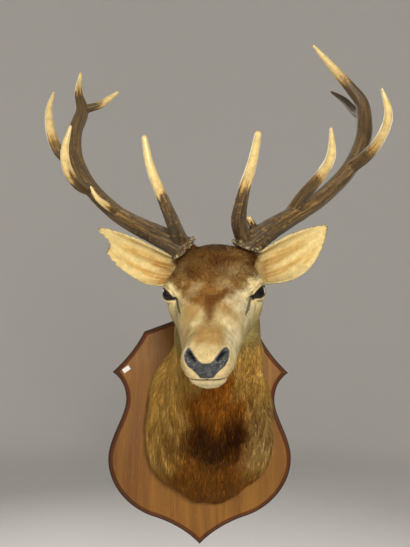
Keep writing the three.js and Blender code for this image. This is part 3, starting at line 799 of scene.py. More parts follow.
def tear_pit(points, mirror):
    """Millimetres outside (+) or inside (-) the tear pit as seen from in front, and how far along it."""
    top, foot = (67.2 + 1.3 * mirror, -12.0, 0), (55.0 + 2.2 * mirror, -40 - 2.0 * mirror, 0)
    gap, t = segment_distance(nose_plan(points), top, foot)
    beside = (points[:, 0] * mirror > 36) & (points[:, 1] < -20) & (points[:, 2] > -16)
    return np.where(beside, gap - 5.2 + 4.3 * t ** 0.8, FAR_OFF), t


def coat_depth(head_points):
    """How far the skin lies under the tips of the coat."""
    neck_part = neck_share(head_points)
    ears, _ = ear_share(head_points)
    forward = -head_points[:, 1]
    depth = 1.2 + 1.6 * ease(30, -40, forward) * ease(0, 30, head_points[:, 2])
    depth = mix(depth, 8.0, neck_part)
    depth = mix(depth, 0.7, ears)
    return depth * ease(215, 185, forward)


def sculpted(head_points):
    """Lids, tear pits, nose, nostrils and mouth, moved into the skin."""
    points = head_points.copy()
    middle = points.copy()
    middle[:, 0] *= 0.2
    middle[:, 2] = middle[:, 2] * 0.3 - 14
    inward = unit(middle - points)
    for _, mirror in SIDES:
        centre = np.array(EYE_AT) * (mirror, 1, 1)
        margin, far, _ = lid_margin(points, mirror)
        near = far < 46.0
        lid = EYE_RADIUS + 1.1 + 1.2 * ease(0.0, 7.0, margin) - 5.5 * ease(1.0, -3.0, margin)
        blend = ease(27.0, 5.0, margin) * near
        away = unit(points - centre)
        points = mix(points, centre + away * lid[:, None], blend)
        pit, t = tear_pit(points, mirror)
        points += inward * (PIT_DEEP * ease(1.6, -2.2, pit) * (1 - 0.5 * t))[:, None]
        margin, far, _ = lid_margin(points, mirror)
        crease = bump_at(margin, 17.0, 4.0) * ease(40, 34, far) * ease(-4.0, 8.0, points[:, 2] - EYE_AT[2])
        points += inward * (CREASE_DEEP * crease)[:, None]
    pad = nose_margin(points)
    points += inward * (-PAD_HIGH * ease(1.2, -1.2, pad) + PAD_GROOVE * bump_at(pad, 1.2, 1.1))[:, None]
    points += inward * (NOSTRIL_DEEP * nostril_depth(points))[:, None]
    line = mouth_gap(points)
    front = ease(MOUTH_CORNER, MOUTH_CORNER - 14, points[:, 1])
    points += inward * (MOUTH_DEEP * bump_at(line, 0.0, 1.5) * front)[:, None]
    points += inward * (LIP_DEEP * ease(-1.0, -5.0, line) * ease(-14.0, -5.0, line) * front)[:, None]
    below_pad = ease(-131, -137, nose_plan(points)[:, 1])
    cleft = bump_at(points[:, 0], 0.0, 1.3) * below_pad * ease(-190, -200, points[:, 1])
    points += inward * (CLEFT_DEEP * cleft * (line > 0))[:, None]
    return points


def refine(thing, wanted):
    """Splits the faces round the wanted points so that they can take finer forms."""
    mesh = thing.data
    edit_mesh(thing, "DESELECT")
    corners = read(mesh.loops, "vertex_index", kind=np.int32)
    starts = read(mesh.polygons, "loop_start", kind=np.int32)
    mesh.polygons.foreach_set("select", np.logical_or.reduceat(wanted[corners], starts))
    bpy.ops.object.mode_set(mode="EDIT")
    bpy.ops.mesh.select_mode(type="FACE")
    bpy.ops.mesh.subdivide(number_cuts=1)
    bpy.ops.object.mode_set(mode="OBJECT")


def near_an_eye(head_points, reach):
    """Whether each point is closer than reach to the middle of an eye."""
    return np.logical_or(*(lid_margin(head_points, mirror)[1] < reach for _, mirror in SIDES))


def smoothed_skin():
    """Neck, head, pedicles and ears in one skin with easy joins, finer round the eyes and muzzle."""
    bodies = [skull(), neck()]
    for side, mirror in SIDES:
        bodies += [pedicle(side, mirror), ear(side), head_ball(np.array(EYE_AT) * (mirror, 1, 1), LID_BALL)]
    thing = moulded_from("skin", bodies, SKIN_VOXEL)
    edges, points = edges_of(thing), points_of(thing)
    ears, out = ear_share(to_head(points))
    free = 1 - ease(-BOARD_FACE - 14, -BOARD_FACE - 5, points[:, 1])
    join = neck_share(to_head(points))
    join = 4 * join * (1 - join)
    firm = (1 - 0.75 * ears * ease(0.1, 0.3, out)) * free
    points = relaxed(points, edges, ALL_ROUNDS, STRENGTH * firm)
    points = relaxed(points, edges, JOIN_ROUNDS, STRENGTH * join * (1 - ears) * free)
    feet = [np.linalg.norm(to_head(points) - ear_frame(side)[0], axis=1) for side, _ in SIDES]
    points = relaxed(points, edges, FOOT_ROUNDS, STRENGTH * bump_at(np.minimum(*feet), 0, 34.0) * free)
    put_points(thing, points)
    at = to_head(points)
    refine(thing, near_an_eye(at, FINE_ROUND_EYE) | (at[:, 1] < FINE_FROM))
    points = points_of(thing)
    at = to_head(points)
    fine = near_an_eye(at, 44.0) | (at[:, 1] < -140)
    points = relaxed(points, edges_of(thing), FINE_ROUNDS, STRENGTH * fine)
    put_points(thing, points)
    return thing, points


def make_skin():
    """The skin, sculpted, and where its points lay before that."""
    thing, points = smoothed_skin()
    points = points - normals_of(thing) * coat_depth(to_head(points))[:, None]
    shaped = to_mount(sculpted(to_head(points)))
    shaped[:, 1] = np.minimum(shaped[:, 1], -BOARD_FACE - 0.25)
    put_points(thing, shaped)
    return thing, points


skin, smooth_skin = make_skin()

# ---------------------------------------------------------------- markings, with some painted light and shade

GOLD_GREY, CHEEK_LOW, CREAM, PALE, PAINTED_LIGHT_CREAM = shades("#aa9a6a #93834f #bfaa7c #dac898 #e6dabb")
BROWN, RUST, STRIPE, FROST = shades("#875b28 #5d3309 #5f3a12 #a98a50")
OCHRE, CHIN, LIP, TAN = shades("#9c7640 #c6b58a #1c130c #9c7840")
SLATE, NOSTRIL, LID, TEAR = shades("#43464a #050404 #130c07 #26221a")
PIT, FROSTED, PAINTED_SHADE_GOLD, PAD_SPECK_AND_GLINT = shades("#615d47 #b9a274 #957844 #8d8b82")
EAR_IN, EAR_OCHRE_AND_SHADE, EAR_RIM_AND_HIGHLIGHT, EAR_OUT, EAR_DEEP = shades("#c6ac6c #ac7d36 #cfbd8a #86703f #7c5422")
STRAW, STRAW_TIP_AND_LIGHT, OLIVE_AND_SHADE, NECK_RUST, DARK = shades("#c0964a #d6b878 #784c18 #9a5f1c #2e1000")
LOW_GOLD, HEM_AND_SHADE, NAPE = shades("#8f5912 #552a06 #7a5a2a")
PUPIL, IRIS, IRIS_EDGE = shades("#030202 #160b05 #060403")
BARK, BARK_GREY, RIDGE = shades("#4a3718 #493b23 #9c773b")
IVORY_TIP, IVORY_WARM, PEARL = shades("#cfb77c #a27a3a #b8a67a")

# Half width of the brown V on the brow, by distance forward from the eyes.
BROW_V = ((-60, 78), (-20, 80), (9, 70), (30, 56), (50, 43), (65, 34), (78, 24), (95, 12), (115, 7), (135, 4))
V_SHIFT = 4.0
# How far forward the dark lines of painted shade for the cheek's creases cross the face; the skin has no
# grooves there.
CHEEK_FOLD_SHADOWS = (143, 157)
# Patches on the face: right, forward, reach across, reach along, colour, strength.
# The pale cream patches on the right of the face are painted light and the golden patch on the left of the
# muzzle is painted shade; the others are the coat's own marks.
FACE_PATCHES = (
    (-28, 38, 12, 10, FROSTED, 0.62), (23, 34, 13, 11, FROSTED, 0.62), (34, 8, 15, 10, FROSTED, 0.55),
    (-54, -16, 16, 12, FROSTED, 0.45), (52, -10, 12, 12, FROSTED, 0.35), (-28, 13, 11, 9, RUST, 0.55),
    (16, -16, 20, 10, RUST, 0.5), (-2, 75, 8, 18, STRIPE, 0.5), (31, 92, 18, 15, TAN, 0.70),
    (-29, 96, 16, 20, TAN, 0.72), (33, 122, 14, 9, PALE, 0.6), (-27, 130, 11, 8, PALE, 0.55),
    (-42, 152, 14, 34, PAINTED_SHADE_GOLD, 0.78), (0, 197, 20, 10, CREAM, 0.5), (46, 150, 16, 40, PAINTED_LIGHT_CREAM, 0.45),
    (58, 60, 18, 30, PAINTED_LIGHT_CREAM, 0.35), (38, 72, 12, 22, PAINTED_LIGHT_CREAM, 0.4), (-34, 52, 12, 10, FROSTED, 0.45),
)


def face_colour(at):
    """The face's coat, then the marks round the eyes and the bare nose, with painted light on the right,
    painted shade on the left of the muzzle and in the cheek's creases.
    """
    x, y, z = at.T
    out, forward = np.abs(x), -y
    blotch, curl = lattice_noise(at, 24, 1), lattice_noise(at * (1, 0.55, 1), 6.5, 2)
    fleck, wavy = lattice_noise(at, 3.2, 3), lattice_noise(at * (1, 0.6, 1), 8.0, 4)
    rough = 4.0 * blotch + 4.0 * curl
    along = forward + rough
    out_v = np.abs(x + V_SHIFT * ease(-20, 20, forward) * ease(110, 80, forward))
    past_v = out_v - profile(BROW_V, 1)(forward) + rough
    upper = ease(-32, -12, z)
    pale = ease(-6, 8, past_v) * ease(30, 10, past_v) * ease(-34, -12, forward)
    pale = pale * ease(150, 110, forward) * upper
    beside_nose = bump_at(out, 30, 13) * bump_at(forward, 112, 26) * upper
    bridge = ease(27, 14, out + 0.8 * rough) * ease(122, 150, along) * ease(204, 176, along) * upper
    frosted = ease(-0.25, 0.75, curl + 0.5 * fleck) * ease(-75, -40, forward) * ease(100, 60, forward)
    brown = layered(
        BROWN,
        (RUST, ease(-18, -62, forward + 9 * blotch)),
        (RUST, 0.6 * ease(0.0, 0.6, blotch)),
        (FROST, (0.25 + 0.5 * ease(26, 52, out)) * frosted),
    )
    colour = layered(
        GOLD_GREY,
        (CHEEK_LOW, ease(-15, -70, z + rough)),
        (mix(CREAM, PALE, ease(54, 30, forward)), (0.95 - 0.25 * ease(40, 70, forward)) * pale),
        # The cream beside the nose is stronger on the right: painted light.
        (CREAM, (0.50 + 0.15 * ease(-10, 10, x)) * beside_nose * ease(-0.7, 0.3, curl)),
        (OCHRE, 0.80 * bridge),
        (brown, ease(9, -9, past_v + 5 * fleck) * ease(156, 118, forward) * upper),
    )
    for right, ahead, wide, long, tint, strength in FACE_PATCHES:
        spread = np.hypot((x + 6 * curl - right) / wide, (forward + 6 * wavy - ahead) / long)
        colour = mix(colour, tint, strength * ease(1.5, 0.4, spread) * upper)
    curly = ease(-0.35, 0.5, wavy + 0.35 * fleck) * bump_at(forward, 90, 44)
    stripe = 0.8 * bump_at(x - 1, 0, 8 + 2 * curl) * ease(60, 80, forward) * ease(136, 118, forward) * upper
    gap = mouth_gap(at)
    colour = layered(
        colour,
        (TAN, 0.5 * (curly * ease(4, 14, past_v) * ease(60, 46, out)) * upper),
        (STRIPE, stripe),
        (CREAM, 0.85 * (ease(166, 184, forward + 0.5 * rough) * (1 - bridge * ease(-14, -6, z)))),
        (CHIN, ease(1.5, -1.5, gap) * ease(138, 165, forward)),
        (LIP, 0.97 * ease(2.4, 1.0, np.abs(gap)) * ease(112, 126, forward)),
    )
    # Painted shade: darker lines across the cheek where its creases would fall.
    for fold in CHEEK_FOLD_SHADOWS:
        crease = bump_at(forward + 0.32 * z + 3 * blotch, fold, 2.6) * ease(20, 32, out) * ease(-62, -40, z)
        colour = mix(colour, CHEEK_LOW * 0.55, 0.42 * crease)
    colour = colour * (1 + 0.12 * blotch + 0.13 * curl + 0.10 * fleck)[:, None]
    return nose_colour(eye_marks(colour, at), at)


def eye_marks(colour, at):
    """Pale hair round the eyes, dark lids and the tear pits."""
    _, y, z = at.T
    for _, mirror in SIDES:
        margin, far, rise = lid_margin(at, mirror)
        pit, t = tear_pit(at, mirror)
        near = far < 42
        deep = np.clip(bump_at(pit, -0.3, 0.7) + ease(0.72, 0.95, t) + ease(0.2, 0.02, t), 0, 1)
        lid = 5 + 6 * ease(-12, 12, rise)
        colour = layered(
            colour,
            (CREAM, 0.8 * bump_at(margin, 20, 8) * near * (z > 0) * (y < 16)),
            (CREAM, 0.6 * bump_at(margin, 12, 8) * near * (rise < 0)),
            (mix(PIT, TEAR, deep), ease(0.9, -0.5, pit)),
            (LID, ease(lid, lid - 6.0, margin) * (far < 34)),
        )
    return colour


def nose_colour(colour, at):
    """The bare slate nose with its paler specks, partly its own mottling and partly painted glints, and black
    nostrils.
    """
    bare = SLATE * (1 + 0.5 * lattice_noise(at, 6, 6) + 0.4 * lattice_noise(at, 2.4, 7))[:, None]
    # The pale specks are partly the nose's own mottling and partly painted glints, stronger away from the
    # middle.
    specks = 0.55 * ease(0.3, 0.7, lattice_noise(at, 1.9, 8)) * (0.5 + ease(8, 22, np.abs(at[:, 0])))
    nostril = nostril_depth(at)
    bare = layered(bare, (PAD_SPECK_AND_GLINT, specks), (NOSTRIL, 0.5 * bump_at(nostril, 0.12, 0.14)))
    inside = ease(1.4, -0.8, nose_margin(at))
    return layered(colour, (bare, inside), (NOSTRIL, 0.9 * ease(0.25, 0.9, nostril)))


# Half width of the dark heart on the neck, by height.
HEART = ((-44, 2), (-30, 22), (-10, 44), (10, 60), (30, 66), (50, 60), (66, 40))


def neck_colour(at):
    """Straw sides, a rusty front with the dark heart on it, and a golden hem, with painted light on the
    viewer's right and painted shade on the lower left and where the neck meets the board.
    """
    x, y, z = at.T
    streak = lattice_noise(at * (1, 1, 0.16), 6.0, 11)
    strand = lattice_noise(at * (1, 1, 0.10), 2.6, 14)
    blotch = lattice_noise(at * (1, 1, 0.6), 30, 12)
    lock = lattice_noise(at * (1, 1, 0.22), 5.5, 15)
    across = x - (4 + 0.22 * np.clip(z + 90, 0, 116))
    # On the viewer's right the straw reaches further in: painted light.
    out = np.abs(across) + 8 * streak + 7 * blotch + 24 * ease(0, 30, across) * ease(10, 80, z)
    level = z - 8 + 10 * streak + 5 * strand + 24 * bump_at(across, -6, 22)
    inside = profile(HEART, 1)(np.clip(z, -44, 66)) - np.abs(across + 8) - 12 * streak - 7 * blotch
    heart = ease(-28, 26, inside) * ease(-56, -22, z + 10 * streak)
    heart = heart * ease(84, 38, level) * ease(-120, -150, y)
    colour = layered(
        NECK_RUST,
        (STRAW, ease(56, 92, out)),
        # Painted light: paler straw on the viewer's right side.
        (STRAW_TIP_AND_LIGHT, 0.45 * ease(40, 70, across) * ease(-50, -10, z) * ease(110, 60, z)),
        (OLIVE_AND_SHADE, 0.65 * ease(0.0, 0.55, lattice_noise(at * (1, 1, 0.3), 15, 13)) * ease(60, 90, out)),
        # Painted shade: darker olive low where the neck meets the board, and on the viewer's lower left.
        (OLIVE_AND_SHADE, 0.7 * ease(-92, -45, y) * ease(-95, -60, z)),
        (OLIVE_AND_SHADE, 0.45 * ease(-20, -50, across) * ease(-30, -62, z)),
        (LOW_GOLD, ease(-34, -76, z + 9 * streak)),
        (HEM_AND_SHADE, 0.8 * ease(-112, -142, z + 7 * streak)),
        (STRAW, ease(92, 124, z + 10 * blotch) * ease(26, 46, out)),
        (NAPE, ease(205, 255, z) * ease(-280, -220, y)),
        (DARK, 0.93 * heart * (1 - 0.45 * ease(0.15, 0.7, strand))),
        (STRAW_TIP_AND_LIGHT, 0.26 * ease(0.2, 0.7, lock) * (1 - heart) * ease(30, 80, out) * ease(-80, -30, z)),
        (HEM_AND_SHADE, 0.48 * ease(-0.10, -0.60, lock) * (1 - 0.5 * heart)),
        # Painted shade: darker along the neck's sides where they meet the board.
        (HEM_AND_SHADE, 0.55 * ease(-70, -40, y) * ease(96, 128, np.abs(x - NECK_MIDDLE))),
    )
    return colour * (1 + 0.16 * streak + 0.15 * strand + 0.12 * blotch)[:, None]


def ear_spot(at, side):
    """Where a point lies on an ear: share of its length, sideways from -1 to 1 and depth outside its
    middle."""
    foot, along, _, upward, opening, sag = ear_frame(side)
    share = np.clip((at - foot) @ along / (along @ along), 0, 1)
    half, spread = profile(EAR_OUTLINE, 1)(share), np.radians(profile(EAR_OUTLINE, 2)(share))
    radius = half / np.sin(np.minimum(spread, np.pi / 2))
    away = at - foot - along * share[:, None]
    rise = away @ upward + sag * 4 * share * (1 - share)
    deep = radius * np.cos(spread) - away @ opening
    return share, np.arctan2(rise, deep) / spread, np.hypot(rise, deep) - radius


def ear_colour(at):
    """Cream inside with ochre, painted shade in the troughs and painted highlight on the crests of its folds,
    greyer behind.
    """
    colour = np.zeros_like(at)
    for side, mirror in SIDES:
        share, aside, outer = ear_spot(at, side)
        folds = lattice_noise(np.stack([share * 34, aside * 22, 0 * share], -1), 6, 21 + int(mirror))
        wisps = lattice_noise(np.stack([share * 8, aside * 26, aside], -1), 2.0, 25)
        warm = ease(0.60, 0.08, share) * ease(0.9, 0.1, np.abs(aside + 0.1)) * (0.7 + 0.6 * folds)
        warm = np.clip(warm + 0.55 * ease(0.15, 0.6, folds) * ease(0.85, 0.4, share), 0, 1)
        # The folds' troughs get painted shade and their crests painted highlight, in step with the folds
        # shaped into the ear.
        fold_light_and_shade = np.cos(aside * 9.5 + share * 2.0 + 0.8 * folds)
        inside = layered(
            EAR_IN,
            (EAR_OCHRE_AND_SHADE, warm),
            (EAR_OCHRE_AND_SHADE, 0.42 * ease(0.3, -0.9, fold_light_and_shade) * ease(0.95, 0.6, share)),
            (EAR_RIM_AND_HIGHLIGHT, 0.6 * ease(0.2, 1.0, fold_light_and_shade) * ease(0.05, 0.25, share)),
            (EAR_DEEP, 0.6 * ease(0.3, 0.06, share) * ease(0.7, 0.1, np.abs(aside + 0.15))),
            (EAR_RIM_AND_HIGHLIGHT, 0.6 * ease(0.1, 0.6, wisps)),
            (EAR_RIM_AND_HIGHLIGHT, np.maximum(ease(0.74, 0.95, np.abs(aside)), 0.5 * ease(0.55, 0.9, share))),
        )
        mine = at[:, 0] * mirror > 0
        colour = np.where(mine[:, None], mix(EAR_OUT, inside, ease(1.4, -0.4, outer)), colour)
    return colour * (1 + 0.10 * lattice_noise(at, 9, 23) + 0.08 * lattice_noise(at, 3, 24))[:, None]


def coat_colour(points):
    """The animal's colour at any point of its surface, for skin and hair alike, with the painted light and
    shade of the face and neck.
    """
    at = to_head(points)
    ears, _ = ear_share(at)
    colour = mix(face_colour(at), neck_colour(points), neck_share(at))
    colour = mix(colour, ear_colour(at), ears)
    return np.clip(colour, 0.0015, 1.0)


# ---------------------------------------------------------------- materials

NUMBER, VECTOR, COLOUR = "NodeSocketFloat", "NodeSocketVector", "NodeSocketColor"
OAK_LIGHT, OAK_DARK, EDGE_STAIN, LIP_STAIN = shades("#84591c #674011 #b08a50 #766a40")
GROOVE, DUST_COLOUR = shade("#24180b"), (0.42, 0.38, 0.30)


def wire(tree, sockets, wires):
    """Gives each named or numbered socket a value or another node's output."""
    for key, value in wires.items():
        if isinstance(value, bpy.types.NodeSocket):
            tree.links.new(value, sockets[key])
        else:
            sockets[key].default_value = value


def add_node(tree, kind, settings=(), numbered=(), **named):
    """A node with its settings and what goes into its inputs, by number or by name."""
    made = tree.nodes.new(kind)
    for label, value in dict(settings).items():
        setattr(made, label, value)
    wire(tree, made.inputs, dict(numbered))
    wire(tree, made.inputs, {label.replace("_", " "): value for label, value in named.items()})
    return made


def node_group(name, inputs, outputs):
    """A group with its two ends' sockets; inputs are name, kind and starting value."""
    tree = bpy.data.node_groups.new(name, "ShaderNodeTree")
    for label, kind, value in inputs:
        made = tree.interface.new_socket(name=label, in_out="INPUT", socket_type=kind)
        if value is not None:
            made.default_value = value
    for label, kind in outputs:
        tree.interface.new_socket(name=label, in_out="OUTPUT", socket_type=kind)
    return tree, tree.nodes.new("NodeGroupInput").outputs, tree.nodes.new("NodeGroupOutput").inputs


def maths(tree, operation, *given):
    return add_node(tree, "ShaderNodeMath", {"operation": operation}, enumerate(given)).outputs[0]


def plus(tree, first, second):
    return maths(tree, "ADD", first, second)


def times(tree, first, second):
    return maths(tree, "MULTIPLY", first, second)


def blended(tree, share, first, second, mode="MIX"):
    """Goes from the first colour to the second by a share."""
    first, second = (c if isinstance(c, bpy.types.NodeSocket) else (*c, 1.0) for c in (first, second))
    settings = {"data_type": "RGBA", "blend_type": mode}
    return add_node(tree, "ShaderNodeMix", settings, {0: share, 6: first, 7: second}).outputs[2]


def ramp(tree, value, low, high, start=0.0, end=1.0):
    """Low where the value is at start, high where it is at end."""
    return add_node(tree, "ShaderNodeMapRange", Value=value, From_Min=start, From_Max=end, To_Min=low,
                    To_Max=high).outputs["Result"]


def mask(tree, value, start, end):
    return ramp(tree, value, 0.0, 1.0, start, end)


def noise(tree, vector, scale, detail=3.0, roughness=0.55):
    return add_node(tree, "ShaderNodeTexNoise", Vector=vector, Scale=scale, Detail=detail,
                    Roughness=roughness).outputs["Fac"]


def stretched(tree, vector, scale):
    return add_node(tree, "ShaderNodeMapping", Vector=vector, Scale=scale).outputs[0]


def dimmed(tree, colour, red, green, blue):
    """Multiplies a colour, channel by channel."""
    tone = add_node(tree, "ShaderNodeCombineColor", Red=red, Green=green, Blue=blue).outputs[0]
    return blended(tree, 1.0, colour, tone, "MULTIPLY")


def speckled(tree, colour, value, spans, start=0.3, end=0.7):
    """Multiplies each channel by the value, spread between the two numbers of that channel's span."""
    return dimmed(tree, colour, *(ramp(tree, value, low, high, start, end) for low, high in spans))


def make_fur_group():
    """Flat short hair: streaks that run along one axis, as a height and a lightness."""
    tree, given, result = node_group(
        "flat_hair", (("Position", VECTOR, None), ("Turn", VECTOR, None), ("Fineness", NUMBER, 900.0)),
        (("Height", NUMBER), ("Lightness", NUMBER)))
    turned = add_node(tree, "ShaderNodeVectorRotate", {"rotation_type": "EULER_XYZ", "invert": True},
                      Vector=given["Position"], Rotation=given["Turn"]).outputs[0]
    along = stretched(tree, turned, (1.0, 0.14, 1.0))
    sized = add_node(tree, "ShaderNodeVectorMath", {"operation": "SCALE"}, {0: along},
                     Scale=given["Fineness"]).outputs[0]
    fine, broad = (noise(tree, sized, scale, 2.0) for scale in (1.0, 0.22))
    both = maths(tree, "MULTIPLY_ADD", fine, 0.6, times(tree, broad, 0.4))
    wire(tree, result, {"Height": both, "Lightness": ramp(tree, both, 0.80, 1.20, 0.3, 0.7)})
    return tree


def make_grain_group():
    """Oak: dark pores and broad figure, running up the board."""
    tree, given, result = node_group(
        "oak_grain", (("Position", VECTOR, None), ("Light", COLOUR, (0.5, 0.3, 0.1, 1)),
                      ("Dark", COLOUR, (0.2, 0.1, 0.03, 1))),
        (("Color", COLOUR), ("Height", NUMBER), ("Gloss", NUMBER)))
    at, light, dark = given["Position"], given["Light"], given["Dark"]
    wander = noise(tree, stretched(tree, at, (1.0, 1.0, 0.5)), 5.0, 2.0)
    offset = add_node(tree, "ShaderNodeCombineXYZ", X=times(tree, wander, 0.05)).outputs[0]
    bent = add_node(tree, "ShaderNodeVectorMath", {"operation": "ADD"}, {0: at, 1: offset}).outputs[0]
    figure = noise(tree, stretched(tree, bent, (1.0, 0.6, 0.045)), 46.0, 4.0, 0.6)
    pores = noise(tree, stretched(tree, bent, (1.0, 1.0, 0.035)), 620.0, 1.0)
    fleck = noise(tree, stretched(tree, at, (1.0, 1.0, 0.30)), 150.0, 1.0)
    broad = noise(tree, stretched(tree, at, (1.0, 1.0, 0.25)), 9.0, 2.0)
    pore = mask(tree, pores, 0.60, 0.70)
    colour = blended(tree, mask(tree, figure, 0.34, 0.66), dark, light)
    colour = blended(tree, times(tree, pore, 0.55), colour, dark)
    colour = speckled(tree, colour, broad, ((0.78, 1.22), (0.76, 1.22), (0.72, 1.2)))
    wire(tree, result, {
        "Color": blended(tree, ramp(tree, fleck, 0.0, 0.35, 0.62, 0.74), colour, light),
        "Height": maths(tree, "SUBTRACT", figure, times(tree, pore, 0.9)),
        "Gloss": ramp(tree, plus(tree, figure, pore), 0.50, 0.68, 0.3, 1.3),
    })
    return tree


def make_dust_group():
    """Fine dust that lies on what faces up, broken into patches."""
    tree, given, result = node_group(
        "settled_dust", (("Position", VECTOR, None), ("Amount", NUMBER, 0.2)), (("Mask", NUMBER),))
    normal = add_node(tree, "ShaderNodeNewGeometry").outputs["Normal"]
    upward = mask(tree, add_node(tree, "ShaderNodeSeparateXYZ", Vector=normal).outputs["Z"], 0.25, 1.0)
    patchy = ramp(tree, noise(tree, given["Position"], 60.0), 0.4, 1.0, 0.35, 0.65)
    wire(tree, result, {"Mask": times(tree, times(tree, upward, patchy), given["Amount"])})
    return tree


def make_mottle_group():
    """Fine pebbling and patchiness of bare skin, horn and metal."""
    tree, given, result = node_group(
        "mottle", (("Position", VECTOR, None), ("Size", NUMBER, 400.0)),
        (("Height", NUMBER), ("Patch", NUMBER), ("Roughness", NUMBER)))
    pebble = add_node(tree, "ShaderNodeTexVoronoi", {"feature": "SMOOTH_F1"}, Vector=given["Position"],
                      Scale=given["Size"]).outputs["Distance"]
    patch = noise(tree, given["Position"], 90.0)
    fine = noise(tree, given["Position"], 1500.0, 2.0)
    wire(tree, result, {
        "Height": maths(tree, "SUBTRACT", times(tree, fine, 0.3), pebble),
        "Patch": patch,
        "Roughness": ramp(tree, plus(tree, patch, times(tree, fine, 0.5)), -0.12, 0.12, 0.5, 1.0),
    })
    return tree


def make_furrow_group():
    """Lengthwise furrows of an antler: polished ridges, dark grooves and their height; how golden the ridges
    are is partly painted highlight.
    """
    tree, given, result = node_group(
        "antler_furrows", (("Grain", VECTOR, None), ("Gold", NUMBER, 0.5), ("Ivory", NUMBER, 0.0),
                           ("Position", VECTOR, None)),
        [(label, NUMBER) for label in ("Ridge", "Groove", "Height", "Bone", "Pearls")])
    wide = noise(tree, given["Grain"], 0.46, 2.0, 0.5)
    fine = noise(tree, given["Grain"], 1.3, 1.0, 0.5)
    grainy = noise(tree, given["Position"], 430.0, 2.0, 0.6)
    worn = maths(tree, "MULTIPLY_ADD", grainy, 0.9, plus(tree, given["Ivory"], times(tree, fine, 0.5)))
    both = maths(tree, "MULTIPLY_ADD", fine, 0.35, times(tree, wide, 0.65))
    bark = maths(tree, "SUBTRACT", 1.0, given["Ivory"])
    crest = times(tree, mask(tree, both, 0.50, 0.64), given["Gold"])
    wire(tree, result, {
        "Ridge": times(tree, crest, bark),
        "Groove": times(tree, ramp(tree, both, 0.90, 0.0, 0.38, 0.49), bark),
        "Height": times(tree, both, ramp(tree, bark, 0.15, 1.0)),
        "Bone": mask(tree, worn, 1.02, 1.36),
        "Pearls": mask(tree, grainy, 0.54, 0.66),
    })
    return tree


FLAT_HAIR, OAK_GRAIN, DUST = make_fur_group(), make_grain_group(), make_dust_group()
MOTTLE, FURROWS = make_mottle_group(), make_furrow_group()


def material(name, roughness, specular=0.5):
    """A new material, its nodes and the sockets of its shader."""
    made = bpy.data.materials.new(name)
    made.use_nodes = True
    tree = made.node_tree
    surface = tree.nodes["Principled BSDF"].inputs
    wire(tree, surface, {"Roughness": roughness, "Specular IOR Level": specular})
    return made, tree, surface


def use_group(tree, group, **wires):
    return add_node(tree, "ShaderNodeGroup", {"node_tree": group}, **wires).outputs


def place_in(tree):
    return add_node(tree, "ShaderNodeTexCoord").outputs["Object"]


def attribute(tree, name, output="Color"):
    return add_node(tree, "ShaderNodeAttribute", {"attribute_name": name}).outputs[output]


def bumped(tree, height, strength, distance):
    return add_node(tree, "ShaderNodeBump", Height=height, Strength=strength, Distance=distance).outputs[0]


def make_skin_material():
    made, tree, surface = material("skin_and_flat_hair", 0.75, 0.2)
    at, coat, bare = place_in(tree), attribute(tree, "coat"), attribute(tree, "bare", "Fac")
    turn = tuple(math.radians(a) for a in (NOSE_DOWN, -LEAN, -TURN))
    hair = use_group(tree, FLAT_HAIR, Position=at, Turn=turn, Fineness=820.0)
    pebble = use_group(tree, MOTTLE, Position=at, Size=520.0)
    heights = {0: bare, 2: hair["Height"], 3: pebble["Height"]}
    height = add_node(tree, "ShaderNodeMix", {"data_type": "FLOAT"}, heights).outputs[0]
    wire(tree, surface, {
        "Base Color": blended(tree, bare, dimmed(tree, coat, *[hair["Lightness"]] * 3), coat),
        "Roughness": plus(tree, ramp(tree, bare, 0.78, 0.36), pebble["Roughness"]),
        "Normal": bumped(tree, height, 0.7, 0.0008),
    })
    return made


def make_hair_material(name, roughness):
    made, tree, surface = material(name, roughness, 0.07)
    speck = noise(tree, place_in(tree), 700.0, 2.0)
    wire(tree, surface, {"Base Color": speckled(tree, attribute(tree, "coat"), speck, [(0.86, 1.14)] * 3)})
    return made


def make_eye_material():
    made, tree, surface = material("eye_glass", 0.06, 0.3)
    cloud = noise(tree, place_in(tree), 900.0)
    iris = speckled(tree, attribute(tree, "iris"), cloud, [(0.7, 1.3)] * 3, 0.0, 1.0)
    wire(tree, surface, {"Base Color": iris})
    return made


def make_antler_material():
    made, tree, surface = material("antler", 0.45, 0.5)
    at, polish, gold_and_highlight = place_in(tree), attribute(tree, "polish", "Fac"), attribute(tree, "gold_and_highlight", "Fac")
    fine = use_group(tree, MOTTLE, Position=at, Size=900.0)
    dust = use_group(tree, DUST, Position=at, Amount=0.18)
    grain = attribute(tree, "grain", "Vector")
    lines = use_group(tree, FURROWS, Grain=grain, Gold=gold_and_highlight, Ivory=polish, Position=at)
    pearled = times(tree, times(tree, lines["Pearls"], gold_and_highlight), 0.7)
    ivory = blended(tree, mask(tree, polish, 0.45, 1.0), IVORY_WARM, IVORY_TIP)
    colour = attribute(tree, "bark")
    for share, tint in ((lines["Ridge"], RIDGE), (lines["Groove"], GROOVE), (pearled, RIDGE),
                        (lines["Bone"], ivory), (dust["Mask"], DUST_COLOUR)):
        colour = blended(tree, share, colour, tint)
    height = maths(tree, "MULTIPLY_ADD", fine["Height"], 0.25, lines["Height"])
    wire(tree, surface, {
        "Base Color": speckled(tree, colour, fine["Patch"], ((0.84, 1.16), (0.84, 1.16), (0.82, 1.16))),
        "Roughness": plus(tree, ramp(tree, polish, 0.60, 0.30), fine["Roughness"]),
        "Normal": bumped(tree, height, 0.8, 0.0008),
    })
    return made


